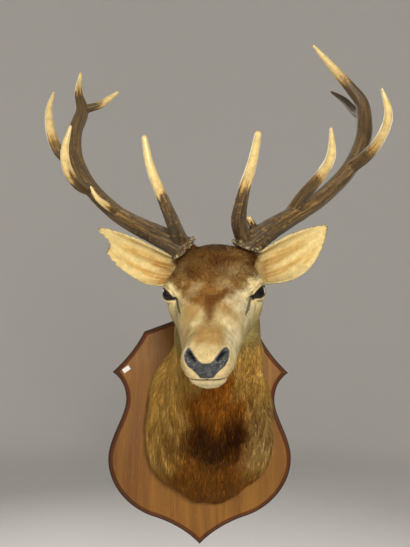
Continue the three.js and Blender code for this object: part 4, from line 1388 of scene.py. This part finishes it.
def make_oak_material():
    made, tree, surface = material("varnished_oak", 0.45, 0.25)
    plain = use_group(tree, OAK_GRAIN, Position=place_in(tree), Light=(*OAK_LIGHT, 1), Dark=(*OAK_DARK, 1))
    edge = attribute(tree, "edge", "Fac")
    stained, lip = (blended(tree, 1.0, plain["Color"], stain, "MULTIPLY")
                    for stain in (EDGE_STAIN, LIP_STAIN))
    slope = blended(tree, mask(tree, edge, 0.0, 0.5), plain["Color"], stained)
    wire(tree, surface, {
        "Coat Weight": 0.06,
        "Coat Roughness": 0.35,
        "Base Color": blended(tree, mask(tree, edge, 0.5, 1.0), slope, lip),
        "Roughness": plain["Gloss"],
        "Normal": bumped(tree, plain["Height"], 0.3, 0.0005),
    })
    return made


def make_steel_material():
    made, tree, surface = material("zinc_steel", 0.4)
    worn = use_group(tree, MOTTLE, Position=place_in(tree), Size=300.0)
    clean, dull = (0.50, 0.49, 0.47), (0.34, 0.32, 0.29)
    wire(tree, surface, {
        "Metallic": 1.0,
        "Base Color": blended(tree, mask(tree, worn["Patch"], 0.35, 0.65), clean, dull),
        "Roughness": plus(tree, worn["Roughness"], 0.42),
        "Normal": bumped(tree, worn["Height"], 0.15, 0.0002),
    })
    return made


def make_paper_material():
    made, tree, surface = material("label_paper", 0.8, 0.3)
    fibre = noise(tree, place_in(tree), 800.0)
    wire(tree, surface, {
        "Base Color": blended(tree, mask(tree, fibre, 0.3, 0.7), (0.60, 0.60, 0.59), (0.72, 0.72, 0.70)),
        "Normal": bumped(tree, fibre, 0.2, 0.0002),
    })
    return made


def finish_piece(thing, surface, nodes=()):
    """Gives a made piece its material and ties it to the frame."""
    thing.data.materials.clear()
    thing.data.materials.append(surface)
    only(thing)
    bpy.ops.object.shade_smooth()
    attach(thing, "root")
    if nodes:
        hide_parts(*nodes)


# ---------------------------------------------------------------- dressing the skin

def dress_skin():
    at = to_head(smooth_skin)
    # Painted shade: the skin under the neck's long hair is darker, so that the gaps between the tufts look
    # deep.
    shade_under_hair = 1 - 0.35 * neck_share(at)
    paint(skin, "coat", coat_colour(smooth_skin) * shade_under_hair[:, None])
    bare = ease(1.0, -1.0, nose_margin(at))
    for _, mirror in SIDES:
        margin, far, _ = lid_margin(at, mirror)
        bare = np.maximum(bare, ease(4.5, 2.0, margin) * (far < 34))
    mark(skin, "bare", bare)
    edit_mesh(skin, "SELECT", bpy.ops.uv.smart_project, angle_limit=math.radians(70), island_margin=0.002)
    skin.data.uv_layers[0].name = "OFBake"
    replaced = ("head", "neck", "lower_jaw", "nose_pad", "ear_left", "ear_right")
    finish_piece(skin, make_skin_material(), replaced)


dress_skin()

# ---------------------------------------------------------------- coat

# A tuft's three corners: aside and above, in half widths and heights. Its height is a share of its
# width, and its patch is this long on the unwrap.
BASE_CORNERS = ((-1.0, 0.0), (1.0, 0.0), (0.0, 1.0))
TUFT_HEIGHT, PATCH = 0.55, 0.003
NECK_TUFTS, FACE_TUFTS, CROWN_TUFTS, EAR_TUFTS = 78000, 84000, 19500, 27000


class SkinMap:
    """Where hair can root: the skin's triangles with their normals and places on the unwrap."""

    def __init__(self, thing):
        mesh = thing.data
        mesh.calc_loop_triangles()
        self.corners = read(mesh.loop_triangles, "vertices", 3, np.int32)
        loops = read(mesh.loop_triangles, "loops", 3, np.int32)
        self.uv = read(mesh.uv_layers["OFBake"].data, "uv", 2)[loops]
        self.points, self.normals = points_of(thing), normals_of(thing)
        a, b, c = (self.points[self.corners[:, k]] for k in range(3))
        self.area = np.linalg.norm(np.cross(b - a, c - a), axis=1) / 2
        self.centres = (a + b + c) / 3
        self.tree = BVHTree.FromPolygons(self.points.tolist(), self.corners.tolist(), all_triangles=True)

    def roots(self, many, weight):
        """Evenly scattered roots: places, normals and unwrap places."""
        heap = np.cumsum(self.area * weight)
        pick = np.searchsorted(heap, (np.arange(many) + rng.random(many)) / many * heap[-1])
        pick = np.minimum(pick, len(heap) - 1)
        u, v = rng.random(many), rng.random(many)
        flip = u + v > 1
        u, v = np.where(flip, 1 - u, u), np.where(flip, 1 - v, v)
        share = np.stack([1 - u - v, u, v], -1)[..., None]
        corners = self.corners[pick]
        places, normals, spots = (np.sum(values * share, 1) for values in (
            self.points[corners], self.normals[corners], self.uv[pick]))
        return places, unit(normals), spots

    def follow(self, places):
        """The nearest points of the skin and their normals."""
        found = [self.tree.find_nearest(p)[:2] for p in places.tolist()]
        return np.array([f[0] for f in found]), np.array([f[1] for f in found])


def lie_of_hair(points):
    """Which way the hair runs at each point."""
    at = to_head(points)
    x, y, z = at.T
    ones, forward = np.ones(len(at)), -y
    lean = 0.15 + 0.35 * ease(40, 0, forward) * ease(0, 40, z)
    back = np.stack([np.sign(x) * lean * ease(0, 30, np.abs(x)), ones, -0.35 * ease(10, -50, z)], -1)
    round_nose = np.stack([x * 0.02, 0.9 * ones, (z + 20) * 0.018], -1)
    face = mix(back, round_nose, ease(160, 195, forward))
    swirl = ease(-85, -45, forward) * ease(95, 40, forward) * ease(5, 25, z)
    face[:, 0] += 0.95 * swirl * lattice_noise(at, 17, 31)
    face[:, 1] += 0.75 * swirl * lattice_noise(at, 17, 32) - 0.4 * swirl
    across = points[:, 0] - NECK_MIDDLE
    down = np.stack([0.0022 * across * ease(40, -90, points[:, 2]), 0.22 * ones, -ones], -1)
    down[:, 0] += 0.22 * lattice_noise(points, 38, 33) + 0.20 * lattice_noise(points * (1, 1, 0.4), 10, 34)
    down[:, 1] += 0.10 * lattice_noise(points, 20, 35)
    way = mix(unit(face) @ HEAD_TURN.T, unit(down), neck_share(at))
    ears, _ = ear_share(at)
    for name, mirror in SIDES:
        _, _, along, upward, *_ = ear_frame(name)
        fan = 0.25 * lattice_noise(at, 15, 36)[:, None] * (upward @ HEAD_TURN.T)
        way = np.where(((x * mirror > 0) & (ears > 0.5))[:, None], along @ HEAD_TURN.T + fan, way)
    return unit(way)


def flat_on(ways, normals):
    return unit(ways - normals * np.sum(ways * normals, 1, keepdims=True))


def turned_about(ways, normals, degrees):
    angle = np.radians(degrees)[:, None]
    return ways * np.cos(angle) + np.cross(normals, ways) * np.sin(angle)


def tuft_faces(rings):
    """The base triangle, the quads between rings and the triangles up to the tip."""
    sides = ((0, 1), (1, 2), (2, 0))
    last, tip = 3 * (rings - 1), 3 * rings
    quads = [(3 * r + a, 3 * r + a + 3, 3 * r + b + 3, 3 * r + b) for r in range(rings - 1) for a, b in sides]
    return [(0, 1, 2), *quads, *((last + a, tip, last + b) for a, b in sides)]


def tuft_mesh(name, spine, normals, widths, colours, patches):
    """Closed three-sided tapering tufts: spine (n, rings + 1, 3), widths (n, rings), colours per ring."""
    many, rings = spine.shape[0], spine.shape[1] - 1
    each = 3 * rings + 1
    points, hues, spots = (np.empty((many, each, columns)) for columns in (3, 3, 2))
    for r in range(rings):
        ahead = unit(spine[:, r + 1] - spine[:, r])
        aside = unit(np.cross(ahead, normals[:, r]))
        above = np.cross(aside, ahead)
        width = widths[:, r, None]
        for k, (side, rise) in enumerate(BASE_CORNERS):
            points[:, 3 * r + k] = spine[:, r] + aside * side * width / 2 + above * rise * width * TUFT_HEIGHT
            hues[:, 3 * r + k] = colours[:, r]
            spot = np.array([side * 0.4 * (1 - r / rings), r / rings + 0.1 * rise])
            spots[:, 3 * r + k] = patches + PATCH * spot
    points[:, -1], hues[:, -1] = spine[:, -1], colours[:, -1]
    spots[:, -1] = patches + PATCH * np.array([0.0, 1.0])
    faces = tuft_faces(rings)
    corners = np.concatenate([np.array(f) for f in faces])
    starts = np.concatenate([[0], np.cumsum([len(f) for f in faces])[:-1]])
    step = np.arange(many)[:, None]
    loops = (corners[None] + step * each).ravel().astype(np.int32)
    mesh = bpy.data.meshes.new(name)
    mesh.vertices.add(many * each)
    mesh.vertices.foreach_set("co", (points * MM).astype(np.float32).ravel())
    mesh.loops.add(len(loops))
    mesh.loops.foreach_set("vertex_index", loops)
    mesh.polygons.add(many * len(faces))
    mesh.polygons.foreach_set("loop_start", (starts[None] + step * len(corners)).ravel().astype(np.int32))
    mesh.update(calc_edges=True)
    layer = mesh.uv_layers.new(name="OFBake")
    spots = spots.astype(np.float32).reshape(-1, 2)[loops]
    layer.data.foreach_set("uv", np.clip(spots, 0.0, 1.0).ravel())
    thing = placed(name, mesh)
    paint(thing, "coat", hues.reshape(-1, 3))
    return thing


def hair_colours(roots, rings, spread, root_tone_and_shade, tip_shade, pale_tips=0.0):
    """Each tuft's colour along its length, from the marking at its root: darker at the root, partly the
    hair's own darker base and partly painted shade where tufts lie under one another, and lighter at the tip.
    """
    colour = coat_colour(roots)
    own = np.exp(rng.normal(0.0, spread, len(roots)))
    warm = rng.normal(0.0, 0.05, len(roots))
    colour = colour * own[:, None] * np.stack([1 + warm, np.ones(len(roots)), 1 - warm], -1)
    along = np.linspace(0, 1, rings + 1)
    made = colour[:, None, :] * (root_tone_and_shade + (tip_shade - root_tone_and_shade) * along)[None, :, None]
    light = pale_tips * (rng.random(len(roots)) < 0.5)[:, None] * along[None, :] ** 2
    return mix(made, np.broadcast_to(PALE, made.shape), light)


def spread_over(name, pieces, spine, normals, widths, colours, patches, surface):
    """Shares tufts evenly among several pieces that each cover the whole area."""
    for k in range(pieces):
        label = f"{name}_{k + 1}" if pieces > 1 else name
        shared = (rows[k::pieces] for rows in (spine, normals, widths, colours, patches))
        finish_piece(tuft_mesh(label, *shared), surface)


def grow_neck(ground, many, pieces, surface):
    """Long hair that follows the neck, laid ring by ring along the skin."""
    rings = 2
    at = to_head(ground.centres)
    clear = ease(-BOARD_FACE - 1.0, -BOARD_FACE - 8.0, ground.centres[:, 1])
    share = neck_share(at) * (1 - ear_share(at)[0])
    seen = 0.45 + 0.55 * ease(0.55, -0.2, ground.normals[ground.corners[:, 0]][:, 1])
    hidden = 1 - 0.7 * ease(210, 260, ground.centres[:, 2])
    roots, normals, patches = ground.roots(many, ease(0.05, 0.5, share) * clear * seen * hidden)
    x, y, z = roots.T
    share = neck_share(to_head(roots))
    length = mix(13.0, mix(24.0, 44.0, ease(150, 20, z)), share) * rng.uniform(0.75, 1.2, many)
    length *= 1 - 0.35 * ease(-60, -25, y)
    length *= 1 + 1.8 * bump_at(x, 0, 8) * ease(-126, -140, z) * ease(-80, -50, y)
    wander = rng.normal(0, 5.0, many)
    stands = mix(2.4, 7.0, share) * rng.uniform(0.35, 1.25, many) * (1 + 0.35 * lattice_noise(roots, 26, 41))
    stands *= 1 + 0.45 * lattice_noise(roots * (1, 1, 0.3), 9, 42)
    spine, ups = np.empty((many, rings + 1, 3)), np.empty((many, rings, 3))
    place, normal = roots, normals
    spine[:, 0] = place - 0.8 * normal
    for r in range(rings):
        ups[:, r] = normal
        ahead = turned_about(flat_on(lie_of_hair(place), normal), normal, wander)
        place, normal = ground.follow(place + ahead * (length / rings)[:, None])
        spine[:, r + 1] = place + normal * (stands * ((r + 1) / rings) ** 1.1)[:, None]
    spine[:, :, 1] = np.minimum(spine[:, :, 1], -BOARD_FACE - 0.6)
    thick = mix(0.8, 1.35, share) * rng.uniform(0.7, 1.25, many)
    widths = thick[:, None] * np.array([0.8, 1.0])
    colours = hair_colours(roots, rings, 0.18, 0.78, 1.12)
    spread_over("coat_neck", pieces, spine, ups, widths, colours, patches, surface)


def for_each(value, points):
    """A number as it is, or a function's number for each point."""
    return value(points) if callable(value) else value


def grow_short(name, ground, many, weight, surface, length, width, lift=0.10, pieces=1, rings=1,
               spread=0.14, pale=0.0, curve=0.0, wander=12.0):
    """Short hair that needs no following of the skin: straight or bowed tufts."""
    roots, normals, patches = ground.roots(many, weight)
    size = for_each(length, roots) * rng.uniform(0.75, 1.25, many)
    ahead = turned_about(flat_on(lie_of_hair(roots), normals), normals, rng.normal(0, wander, many))
    bow = turned_about(ahead, normals, rng.normal(0, 1.0, many) * curve)
    rise = for_each(lift, roots) * rng.uniform(0.6, 1.4, many)
    spine = np.empty((many, rings + 1, 3))
    spine[:, 0] = roots - normals * 0.35
    for r in range(1, rings + 1):
        t = r / rings
        step = unit(mix(ahead, bow, t)) * (size / rings)[:, None]
        spine[:, r] = spine[:, r - 1] + step + normals * (rise * size / rings * (1.35 - 0.7 * t))[:, None]
    ups = np.repeat(normals[:, None], rings, 1)
    thick = for_each(width, roots) * rng.uniform(0.75, 1.25, many)
    widths = thick[:, None] * np.array([0.85, 1.0])[-rings:]
    colours = hair_colours(roots, rings, spread, 0.86, 1.10, pale)
    spread_over(name, pieces, spine, ups, widths, colours, patches, surface)


def bare_parts(at):
    """0 where no hair grows: nose, eyes, tear pits and the line of the mouth."""
    from_mouth = np.abs(mouth_gap(at)) + 3 * ease(-128, -112, at[:, 1])
    grows = ease(0.6, 2.4, nose_margin(at)) * ease(1.8, 3.0, from_mouth)
    for _, mirror in SIDES:
        margin, far, rise = lid_margin(at, mirror)
        lid = 3 + 4 * ease(-12, 12, rise)
        pit, _ = tear_pit(at, mirror)
        grows = grows * np.where(far < 34, ease(lid, lid + 5.0, margin), 1.0) * ease(0.4, 2.0, pit)
    return grows


def between_antlers(points):
    """1 on the ruffled top of the crown, more towards the antlers' feet than in the middle."""
    x, y, _ = to_head(points).T
    out, forward = np.abs(x), -y
    middle = 0.35 + 0.65 * bump_at(out, 30, 14)
    return ease(34, 6, forward) * ease(-70, -40, forward) * middle * ease(64, 48, out)


def crown_length(points):
    return 6.0 + 6.0 * ease(70, 0, -to_head(points)[:, 1]) + 3.0 * between_antlers(points)


def crown_lift(points):
    lift = (0.13 + 0.10 * lattice_noise(points, 12, 44)) * ease(110, 40, -to_head(points)[:, 1])
    return lift + 0.6 * between_antlers(points)


def face_length(points):
    at = to_head(points)
    return 4.4 + 2.6 * ease(150, 60, -at[:, 1]) + 4.0 * neck_share(at)


def face_width(points):
    return 0.52 + 0.28 * ease(150, 40, -to_head(points)[:, 1])


def crown_share(at):
    """1 where the long curly hair of the brow and crown grows."""
    forward = -at[:, 1]
    past_v = np.abs(at[:, 0]) - profile(BROW_V, 1)(forward)
    crown = ease(128, 84, forward) * ease(-110, -95, forward) * ease(4, 18, at[:, 2])
    return crown * np.maximum(ease(4, -8, past_v), 0.8 * ease(30, 20, past_v) * ease(45, 75, forward))


def grow_coat():
    ground = SkinMap(skin)
    at = to_head(ground.centres)
    ears, _ = ear_share(at)
    neck_part = neck_share(at)
    free = bare_parts(at) * (1 - ears)
    long_hair = make_hair_material("long_hair", 0.62)
    short_hair = make_hair_material("short_hair", 0.70)
    grow_neck(ground, NECK_TUFTS, 4, long_hair)
    face = free * (1 - ease(0.35, 0.8, neck_part))
    crown = free * crown_share(at) * (1 - ease(0.5, 0.9, neck_part))
    grow_short("coat_face", ground, FACE_TUFTS, face, short_hair, face_length, face_width, pieces=2)
    grow_short("coat_crown", ground, CROWN_TUFTS, crown, short_hair, crown_length, 0.85, crown_lift,
               rings=2, spread=0.17, pale=0.22, curve=30.0, wander=13.0)
    grow_short("coat_ears", ground, EAR_TUFTS, ears, short_hair, 5.5, 0.65, spread=0.10)


grow_coat()

# ---------------------------------------------------------------- eyes

# Rings and sides of an eye, its pupil's half length and half height in radii, and the cornea's bulge.
GLASS_MESH = 72, 96
PUPIL_HALF, PUPIL_TALL, BULGE = 0.52, 0.34, 0.9


def make_eyes():
    glass = make_eye_material()
    for side, mirror in SIDES:
        centre = np.array(EYE_AT) * (mirror, 1, 1)
        points, faces = ball(centre, (EYE_RADIUS,) * 3, *GLASS_MESH)
        axis, front, above = eye_axes(mirror)
        away = (points - centre) / EYE_RADIUS
        turned = np.degrees(np.arccos(np.clip(away @ axis, -1, 1)))
        slot_like = np.hypot(away @ front / PUPIL_HALF, away @ above / PUPIL_TALL)
        colour = layered(IRIS, (PUPIL, ease(1.08, 0.92, slot_like)), (IRIS_EDGE, ease(36, 46, turned)))
        points = centre + away * (EYE_RADIUS + BULGE * bump_at(turned, 0, 24))[:, None]
        thing = mesh_object(f"glass_eye_{side}", to_mount(points), faces)
        paint(thing, "iris", colour)
        finish_piece(thing, glass, (f"eye_{side}",))


make_eyes()

# ---------------------------------------------------------------- antlers: surface

ANTLER_VOXEL = 1.48
FURROW_DEEP, PEARL_HIGH = 0.95, 0.8
# A burr from its axis below round its rim to its axis above: out and up, in radii and heights.
BURR_RIM = ((0.0, -0.5), (0.8, -0.5), (0.97, -0.25), (1.0, 0.1), (0.88, 0.45), (0.5, 0.62), (0.0, 0.62))
BURR_PEARLS = 34
# How many points at a time are measured against a branch, which keeps the tables small.
AT_A_TIME = 16000


def burr_bodies(side):
    """The wavy disc of a burr and the pearls round it."""
    foot, way = antler_root(side)
    aside = unit(np.cross(way, (0.0, 0.3, 1.0)))
    across = np.cross(way, aside)

    def place(t, angle):
        row = t * (len(BURR_RIM) - 1)
        out, up = (np.interp(row, range(len(BURR_RIM)), [p[k] for p in BURR_RIM]) for k in (0, 1))
        wave = 1 + 0.04 * np.sin(angle * 5 + 1) + 0.03 * np.sin(angle * 9)
        ring = aside * np.cos(angle)[..., None] + across * np.sin(angle)[..., None]
        reach = np.maximum(out, 0.02) * (BURR_RADIUS - 1.5) * wave
        return foot + ring * reach[..., None] + way * (up * BURR_HEIGHT)[..., None]

    bodies = [loft(18, 64, place)]
    for k in range(BURR_PEARLS):
        angle = 2 * math.pi * k / BURR_PEARLS + rng.normal(0, 0.05)
        ring = aside * math.cos(angle) + across * math.sin(angle)
        at = foot + ring * (BURR_RADIUS - 1.6 + rng.normal(0, 0.8)) + way * rng.uniform(-3.0, 3.4)
        bodies.append(ball(at, (rng.uniform(2.2, 3.6),) * 3, 8, 10))
    return bodies


def along_branches(at, side):
    """For each branch of an antler: depth outside it, share of its length, the way round it, its radius
    and the length up to there."""
    found = {}
    for name, branch in ANTLERS[side].items():
        line, radius, length, _, aside, across = branch_lines(branch)
        near = np.empty(len(at), int)
        for start in range(0, len(at), AT_A_TIME):
            part = at[start:start + AT_A_TIME]
            gap = (part ** 2).sum(1)[:, None] - 2 * part @ line.T + (line ** 2).sum(1)[None]
            near[start:start + AT_A_TIME] = gap.argmin(1)
        rel = at - line[near]
        share = near / (len(line) - 1)
        around = unit(np.stack([np.sum(rel * aside[near], 1), np.sum(rel * across[near], 1)], -1))
        depth = np.linalg.norm(rel, axis=1) - radius[near]
        found[name] = (depth, share, around, radius[near], share * length)
    return found


def moulded_antler(side):
    """One closed antler with easy forks, and how much of each point belongs to each branch."""
    bodies = [branch_body(branch) for branch in ANTLERS[side].values()] + burr_bodies(side)
    thing = moulded_from(f"antler_{side}", [(to_mount(p), f) for p, f in bodies], ANTLER_VOXEL)
    edges = edges_of(thing)
    points = relaxed(points_of(thing), edges, 3, 0.5)
    found = along_branches(to_head(points), side)
    depth = np.stack([row[0] for row in found.values()], 1)
    weight = np.exp(-np.clip(depth - depth.min(1, keepdims=True), 0, 60) / 2.5)
    weight /= weight.sum(1, keepdims=True)
    fork = 4 * weight.max(1) * (1 - weight.max(1))
    return thing, relaxed(points, edges, 10, 0.5 * np.clip(fork, 0, 1)), found, weight


def make_antler(side):
    """An antler with furrows and pearls in its surface, and its bark, ivory and grain painted on, with
    painted highlight where its ridges face the light.
    """
    thing, points, found, weight = moulded_antler(side)
    at = to_head(points)
    foot, way = antler_root(side)
    from_burr = np.linalg.norm(at - foot, axis=1)
    on_burr = ease(33, 29, from_burr) * ease(13, 7, np.abs((at - foot) @ way))
    furrow, ivory = np.zeros(len(at)), np.zeros(len(at))
    grain_at = np.zeros((len(at), 3))
    for k, (name, (_, share, around, radius, length)) in enumerate(found.items()):
        spot = np.concatenate([around * radius[:, None], length[:, None] * 0.022], 1)
        spot[:, :2] += 1.2 * np.stack([lattice_noise(at, 30, 50 + k), lattice_noise(at, 30, 60 + k)], -1)
        grain_at = np.where((weight.argmax(1) == k)[:, None], spot + (0, 0, 40 * k), grain_at)
        wide = 1 - 2 * np.abs(lattice_noise(spot, 5.5, 51 + k))
        start, end = IVORY[side][name]
        streaked = 16 * lattice_noise(spot * (1, 1, 2), 2.6, 53) + 7 * lattice_noise(at, 12, 54)
        white = ease(start, end, share + streaked / length.max())
        rough = (1 - white) * ease(1.0, 0.15, share * (0.72 if name == "beam" else 1.0))
        furrow += weight[:, k] * wide * (0.25 + 0.75 * rough)
        ivory += weight[:, k] * white
    near_base = ease(330, 60, from_burr)
    grain = lattice_noise(at, 3.4, 55)
    pearls = ease(0.35, 0.75, lattice_noise(at, 5.2, 56)) * near_base * (1 - ivory)
    amount = (1 - ivory) * (0.55 + 0.45 * near_base) * (1 - on_burr)
    moved = FURROW_DEEP * amount * np.clip(furrow, -1, 1)
    moved = moved + PEARL_HIGH * pearls * (1 - 0.6 * on_burr) + 0.5 * grain * on_burr
    put_points(thing, points)
    put_points(thing, points + normals_of(thing) * (moved - 0.35 * amount)[:, None])
    facing = normals_of(thing)
    # Painted highlight: the ridges' golden colour is stronger where the surface faces the front and top,
    # towards the light.
    faces_the_light = ease(-0.2, 0.8, -0.65 * facing[:, 1] + 0.6 * facing[:, 2])
    root = ease(150, 55, from_burr)
    gold_and_highlight = (0.35 + 0.65 * ease(-0.3, 0.5, furrow)) * (0.2 + 0.8 * faces_the_light)
    gold_and_highlight = gold_and_highlight * (0.2 + 0.8 * ease(480, 200, from_burr))
    grey = 0.8 * ease(-0.2, 0.6, lattice_noise(at, 40, 57))
    colour = layered(BARK, (BARK_GREY, grey), (RIDGE, 0.5 * pearls))
    colour = colour * (1 + 0.12 * lattice_noise(at, 14, 59) + 0.08 * grain - 0.32 * root)[:, None]
    rim = on_burr * ease(BURR_RADIUS - 4, BURR_RADIUS + 0.5, from_burr)
    paint(thing, "bark", mix(colour, mix(BARK, PEARL, ease(-0.2, 0.5, grain)), 0.85 * rim))
    mark(thing, "polish", ivory * (1 - on_burr))
    mark(thing, "gold_and_highlight", gold_and_highlight * (1 - 0.55 * root) * (1 - rim))
    mark(thing, "grain", grain_at)
    return thing


def make_antlers():
    bone = make_antler_material()
    parts = ["lower_beam", "upper_beam"]
    parts += [f"{tine}_tine" for tine in ("top", "brow", "bez", "trez", "outer", "crown")]
    for side, _ in SIDES:
        finish_piece(make_antler(side), bone, tuple(f"antler_{side}_{part}" for part in parts))


make_antlers()

# ---------------------------------------------------------------- board

THICK = BOARD_FACE
# Half outline from the peak down to the tip: quadratic or cubic curves through these points.
BOARD_CURVES = (
    ((0, 266), (70, 238), (130.6, 215.8)),
    ((130.6, 215.8), (155, 166), (200.7, 123.5)),
    ((200.7, 123.5), (182, 112), (168.4, 90), (168.4, 62)),
    ((168.4, 62), (168.4, 25), (205, -20), (205, -66)),
    ((205, -66), (205, -130), (150, -178), (100, -192)),
    ((100, -192), (38, -212), (0, -250)),
)
# Moulding, from the outline inwards: how far in, and how far back from the front face.
MOULDING = ((0.0, THICK), (0.0, 8.2), (0.5, 7.2), (1.5, 6.6), (2.8, 6.5), (3.4, 5.4), (4.6, 3.6), (6.2, 2.2),
            (8.2, 1.2), (9.8, 0.9), (10.3, 0.35), (10.8, 0.08), (11.6, 0.0))
# Closest that two points beside a mitred corner may come, and how many on each side are kept apart.
CORNER_STEP, CORNER_POINTS = 0.02, 12


def bezier(points, steps):
    """Points along a curve of any order, without its last one."""
    points = np.array(points, float)
    t = np.linspace(0, 1, steps, endpoint=False)[:, None]
    order = len(points) - 1
    return sum(math.comb(order, k) * (1 - t) ** (order - k) * t ** k * points[k] for k in range(order + 1))


def board_outline():
    """The whole outline from the peak, down the right side, past the tip and up the left."""
    right = np.vstack([*(bezier(curve, 40) for curve in BOARD_CURVES), [BOARD_CURVES[-1][-1]]])
    return np.vstack([right, right[1:-1][::-1] * (-1, 1)])


def inset_outline(outline, amount):
    """The outline moved inwards, mitred at its corners."""
    before, after = unit(outline - np.roll(outline, 1, 0)), unit(np.roll(outline, -1, 0) - outline)
    inward = np.stack([before[:, 1] + after[:, 1], -before[:, 0] - after[:, 0]], -1)
    inward = inward / np.maximum(np.sum(inward * inward, 1, keepdims=True), 0.05) * 2
    moved = outline + inward * amount
    bend = before[:, 0] * after[:, 1] - before[:, 1] * after[:, 0]
    for corner in np.flatnonzero(bend < -0.25):
        tip, way = moved[corner], unit(inward[corner])
        square = np.array([-way[1], way[0]])
        for step in (1, -1):
            side = np.sign((outline[(corner + step) % len(outline)] - outline[corner]) @ square)
            for k in range(1, CORNER_POINTS):
                index = (corner + step * k) % len(outline)
                if ((moved[index] - tip) @ square) * side < CORNER_STEP * k:
                    moved[index] = tip + square * side * CORNER_STEP * k + way * CORNER_STEP / 2 * k
    return moved


# The hanging plate let into the back: height, width over its round ends, height across, depth of its bed,
# and the radius and depth of the room behind it for a nail's head.
HANGER_AT, HANGER_WIDE, HANGER_TALL, BED_DEEP = 150.0, 62.6, 26.6, 1.9
NAIL_ROOM, NAIL_DEEP = 9.0, 4.0
# What lies behind this is the board's back, which takes the lip's stain all over.
BACK_FROM = -5.0


def cut_from(thing, cutter):
    """Takes a cutter's shape out of a piece and removes the cutter."""
    cut = only(thing).modifiers.new("cut", "BOOLEAN")
    cut.operation, cut.solver, cut.object = "DIFFERENCE", "EXACT", cutter
    bpy.ops.object.modifier_apply(modifier=cut.name)
    only(cutter)
    bpy.ops.object.delete()


def bed_hanger(thing):
    """Cuts the shallow bed of the hanging plate, round at both ends, and the room behind its keyhole."""
    radius = HANGER_TALL / 2
    reach = HANGER_WIDE / 2 - radius
    for x, size, deep in ((-reach, radius, BED_DEEP), (reach, radius, BED_DEEP), (0.0, NAIL_ROOM, NAIL_DEEP)):
        nothing_selected()
        bpy.ops.mesh.primitive_cylinder_add(vertices=48, radius=size * MM, depth=2 * deep * MM,
                                            location=(x * MM, 0, HANGER_AT * MM),
                                            rotation=(math.pi / 2, 0, 0))
        cut_from(thing, bpy.context.active_object)
    nothing_selected()
    bpy.ops.mesh.primitive_cube_add(size=1.0, location=(0, 0, HANGER_AT * MM),
                                    scale=(2 * reach * MM, 2 * BED_DEEP * MM, HANGER_TALL * MM))
    cut_from(thing, bpy.context.active_object)


def make_board():
    outline = board_outline()
    many = len(outline)
    rows = []
    for inset, back in MOULDING:
        x, z = inset_outline(outline, inset).T
        rows.append(np.stack([x, np.full(many, back - THICK), z], -1))
    first, after = np.arange(many), np.roll(np.arange(many), -1)
    faces = [quad for r in range(len(rows) - 1) for quad in (
        np.stack([first, first + many, after + many, after], -1) + r * many).tolist()]
    faces += [list(range((len(rows) - 1) * many, len(rows) * many))[::-1], list(range(many))]
    thing = mesh_object("oak_board", np.vstack(rows), faces)
    edit_mesh(thing, "SELECT", bpy.ops.mesh.normals_make_consistent, inside=False)
    inset = np.repeat([row[0] for row in MOULDING], many)
    mark(thing, "edge", 0.5 * ease(11.4, 10.2, inset) + 0.5 * ease(4.0, 2.8, inset))
    bed_hanger(thing)
    stained = thing.data.attributes["edge"].data
    for index in np.flatnonzero(points_of(thing)[:, 1] > BACK_FROM):
        stained[index].value = 1.0
    finish_piece(thing, make_oak_material(), ("board",))
    only(thing)
    bpy.ops.object.shade_smooth_by_angle(angle=math.radians(32))


make_board()


def refinish_kept_nodes():
    """Gives the CAD pieces that stay as they are their metal and paper."""
    steel, paper = make_steel_material(), make_paper_material()
    for name in ("hanger_plate", "hanger_screw_1", "hanger_screw_2"):
        frame["nodes"][name].material_slots[0].material = steel
    frame["nodes"]["blank_label"].material_slots[0].material = paper


refinish_kept_nodes()
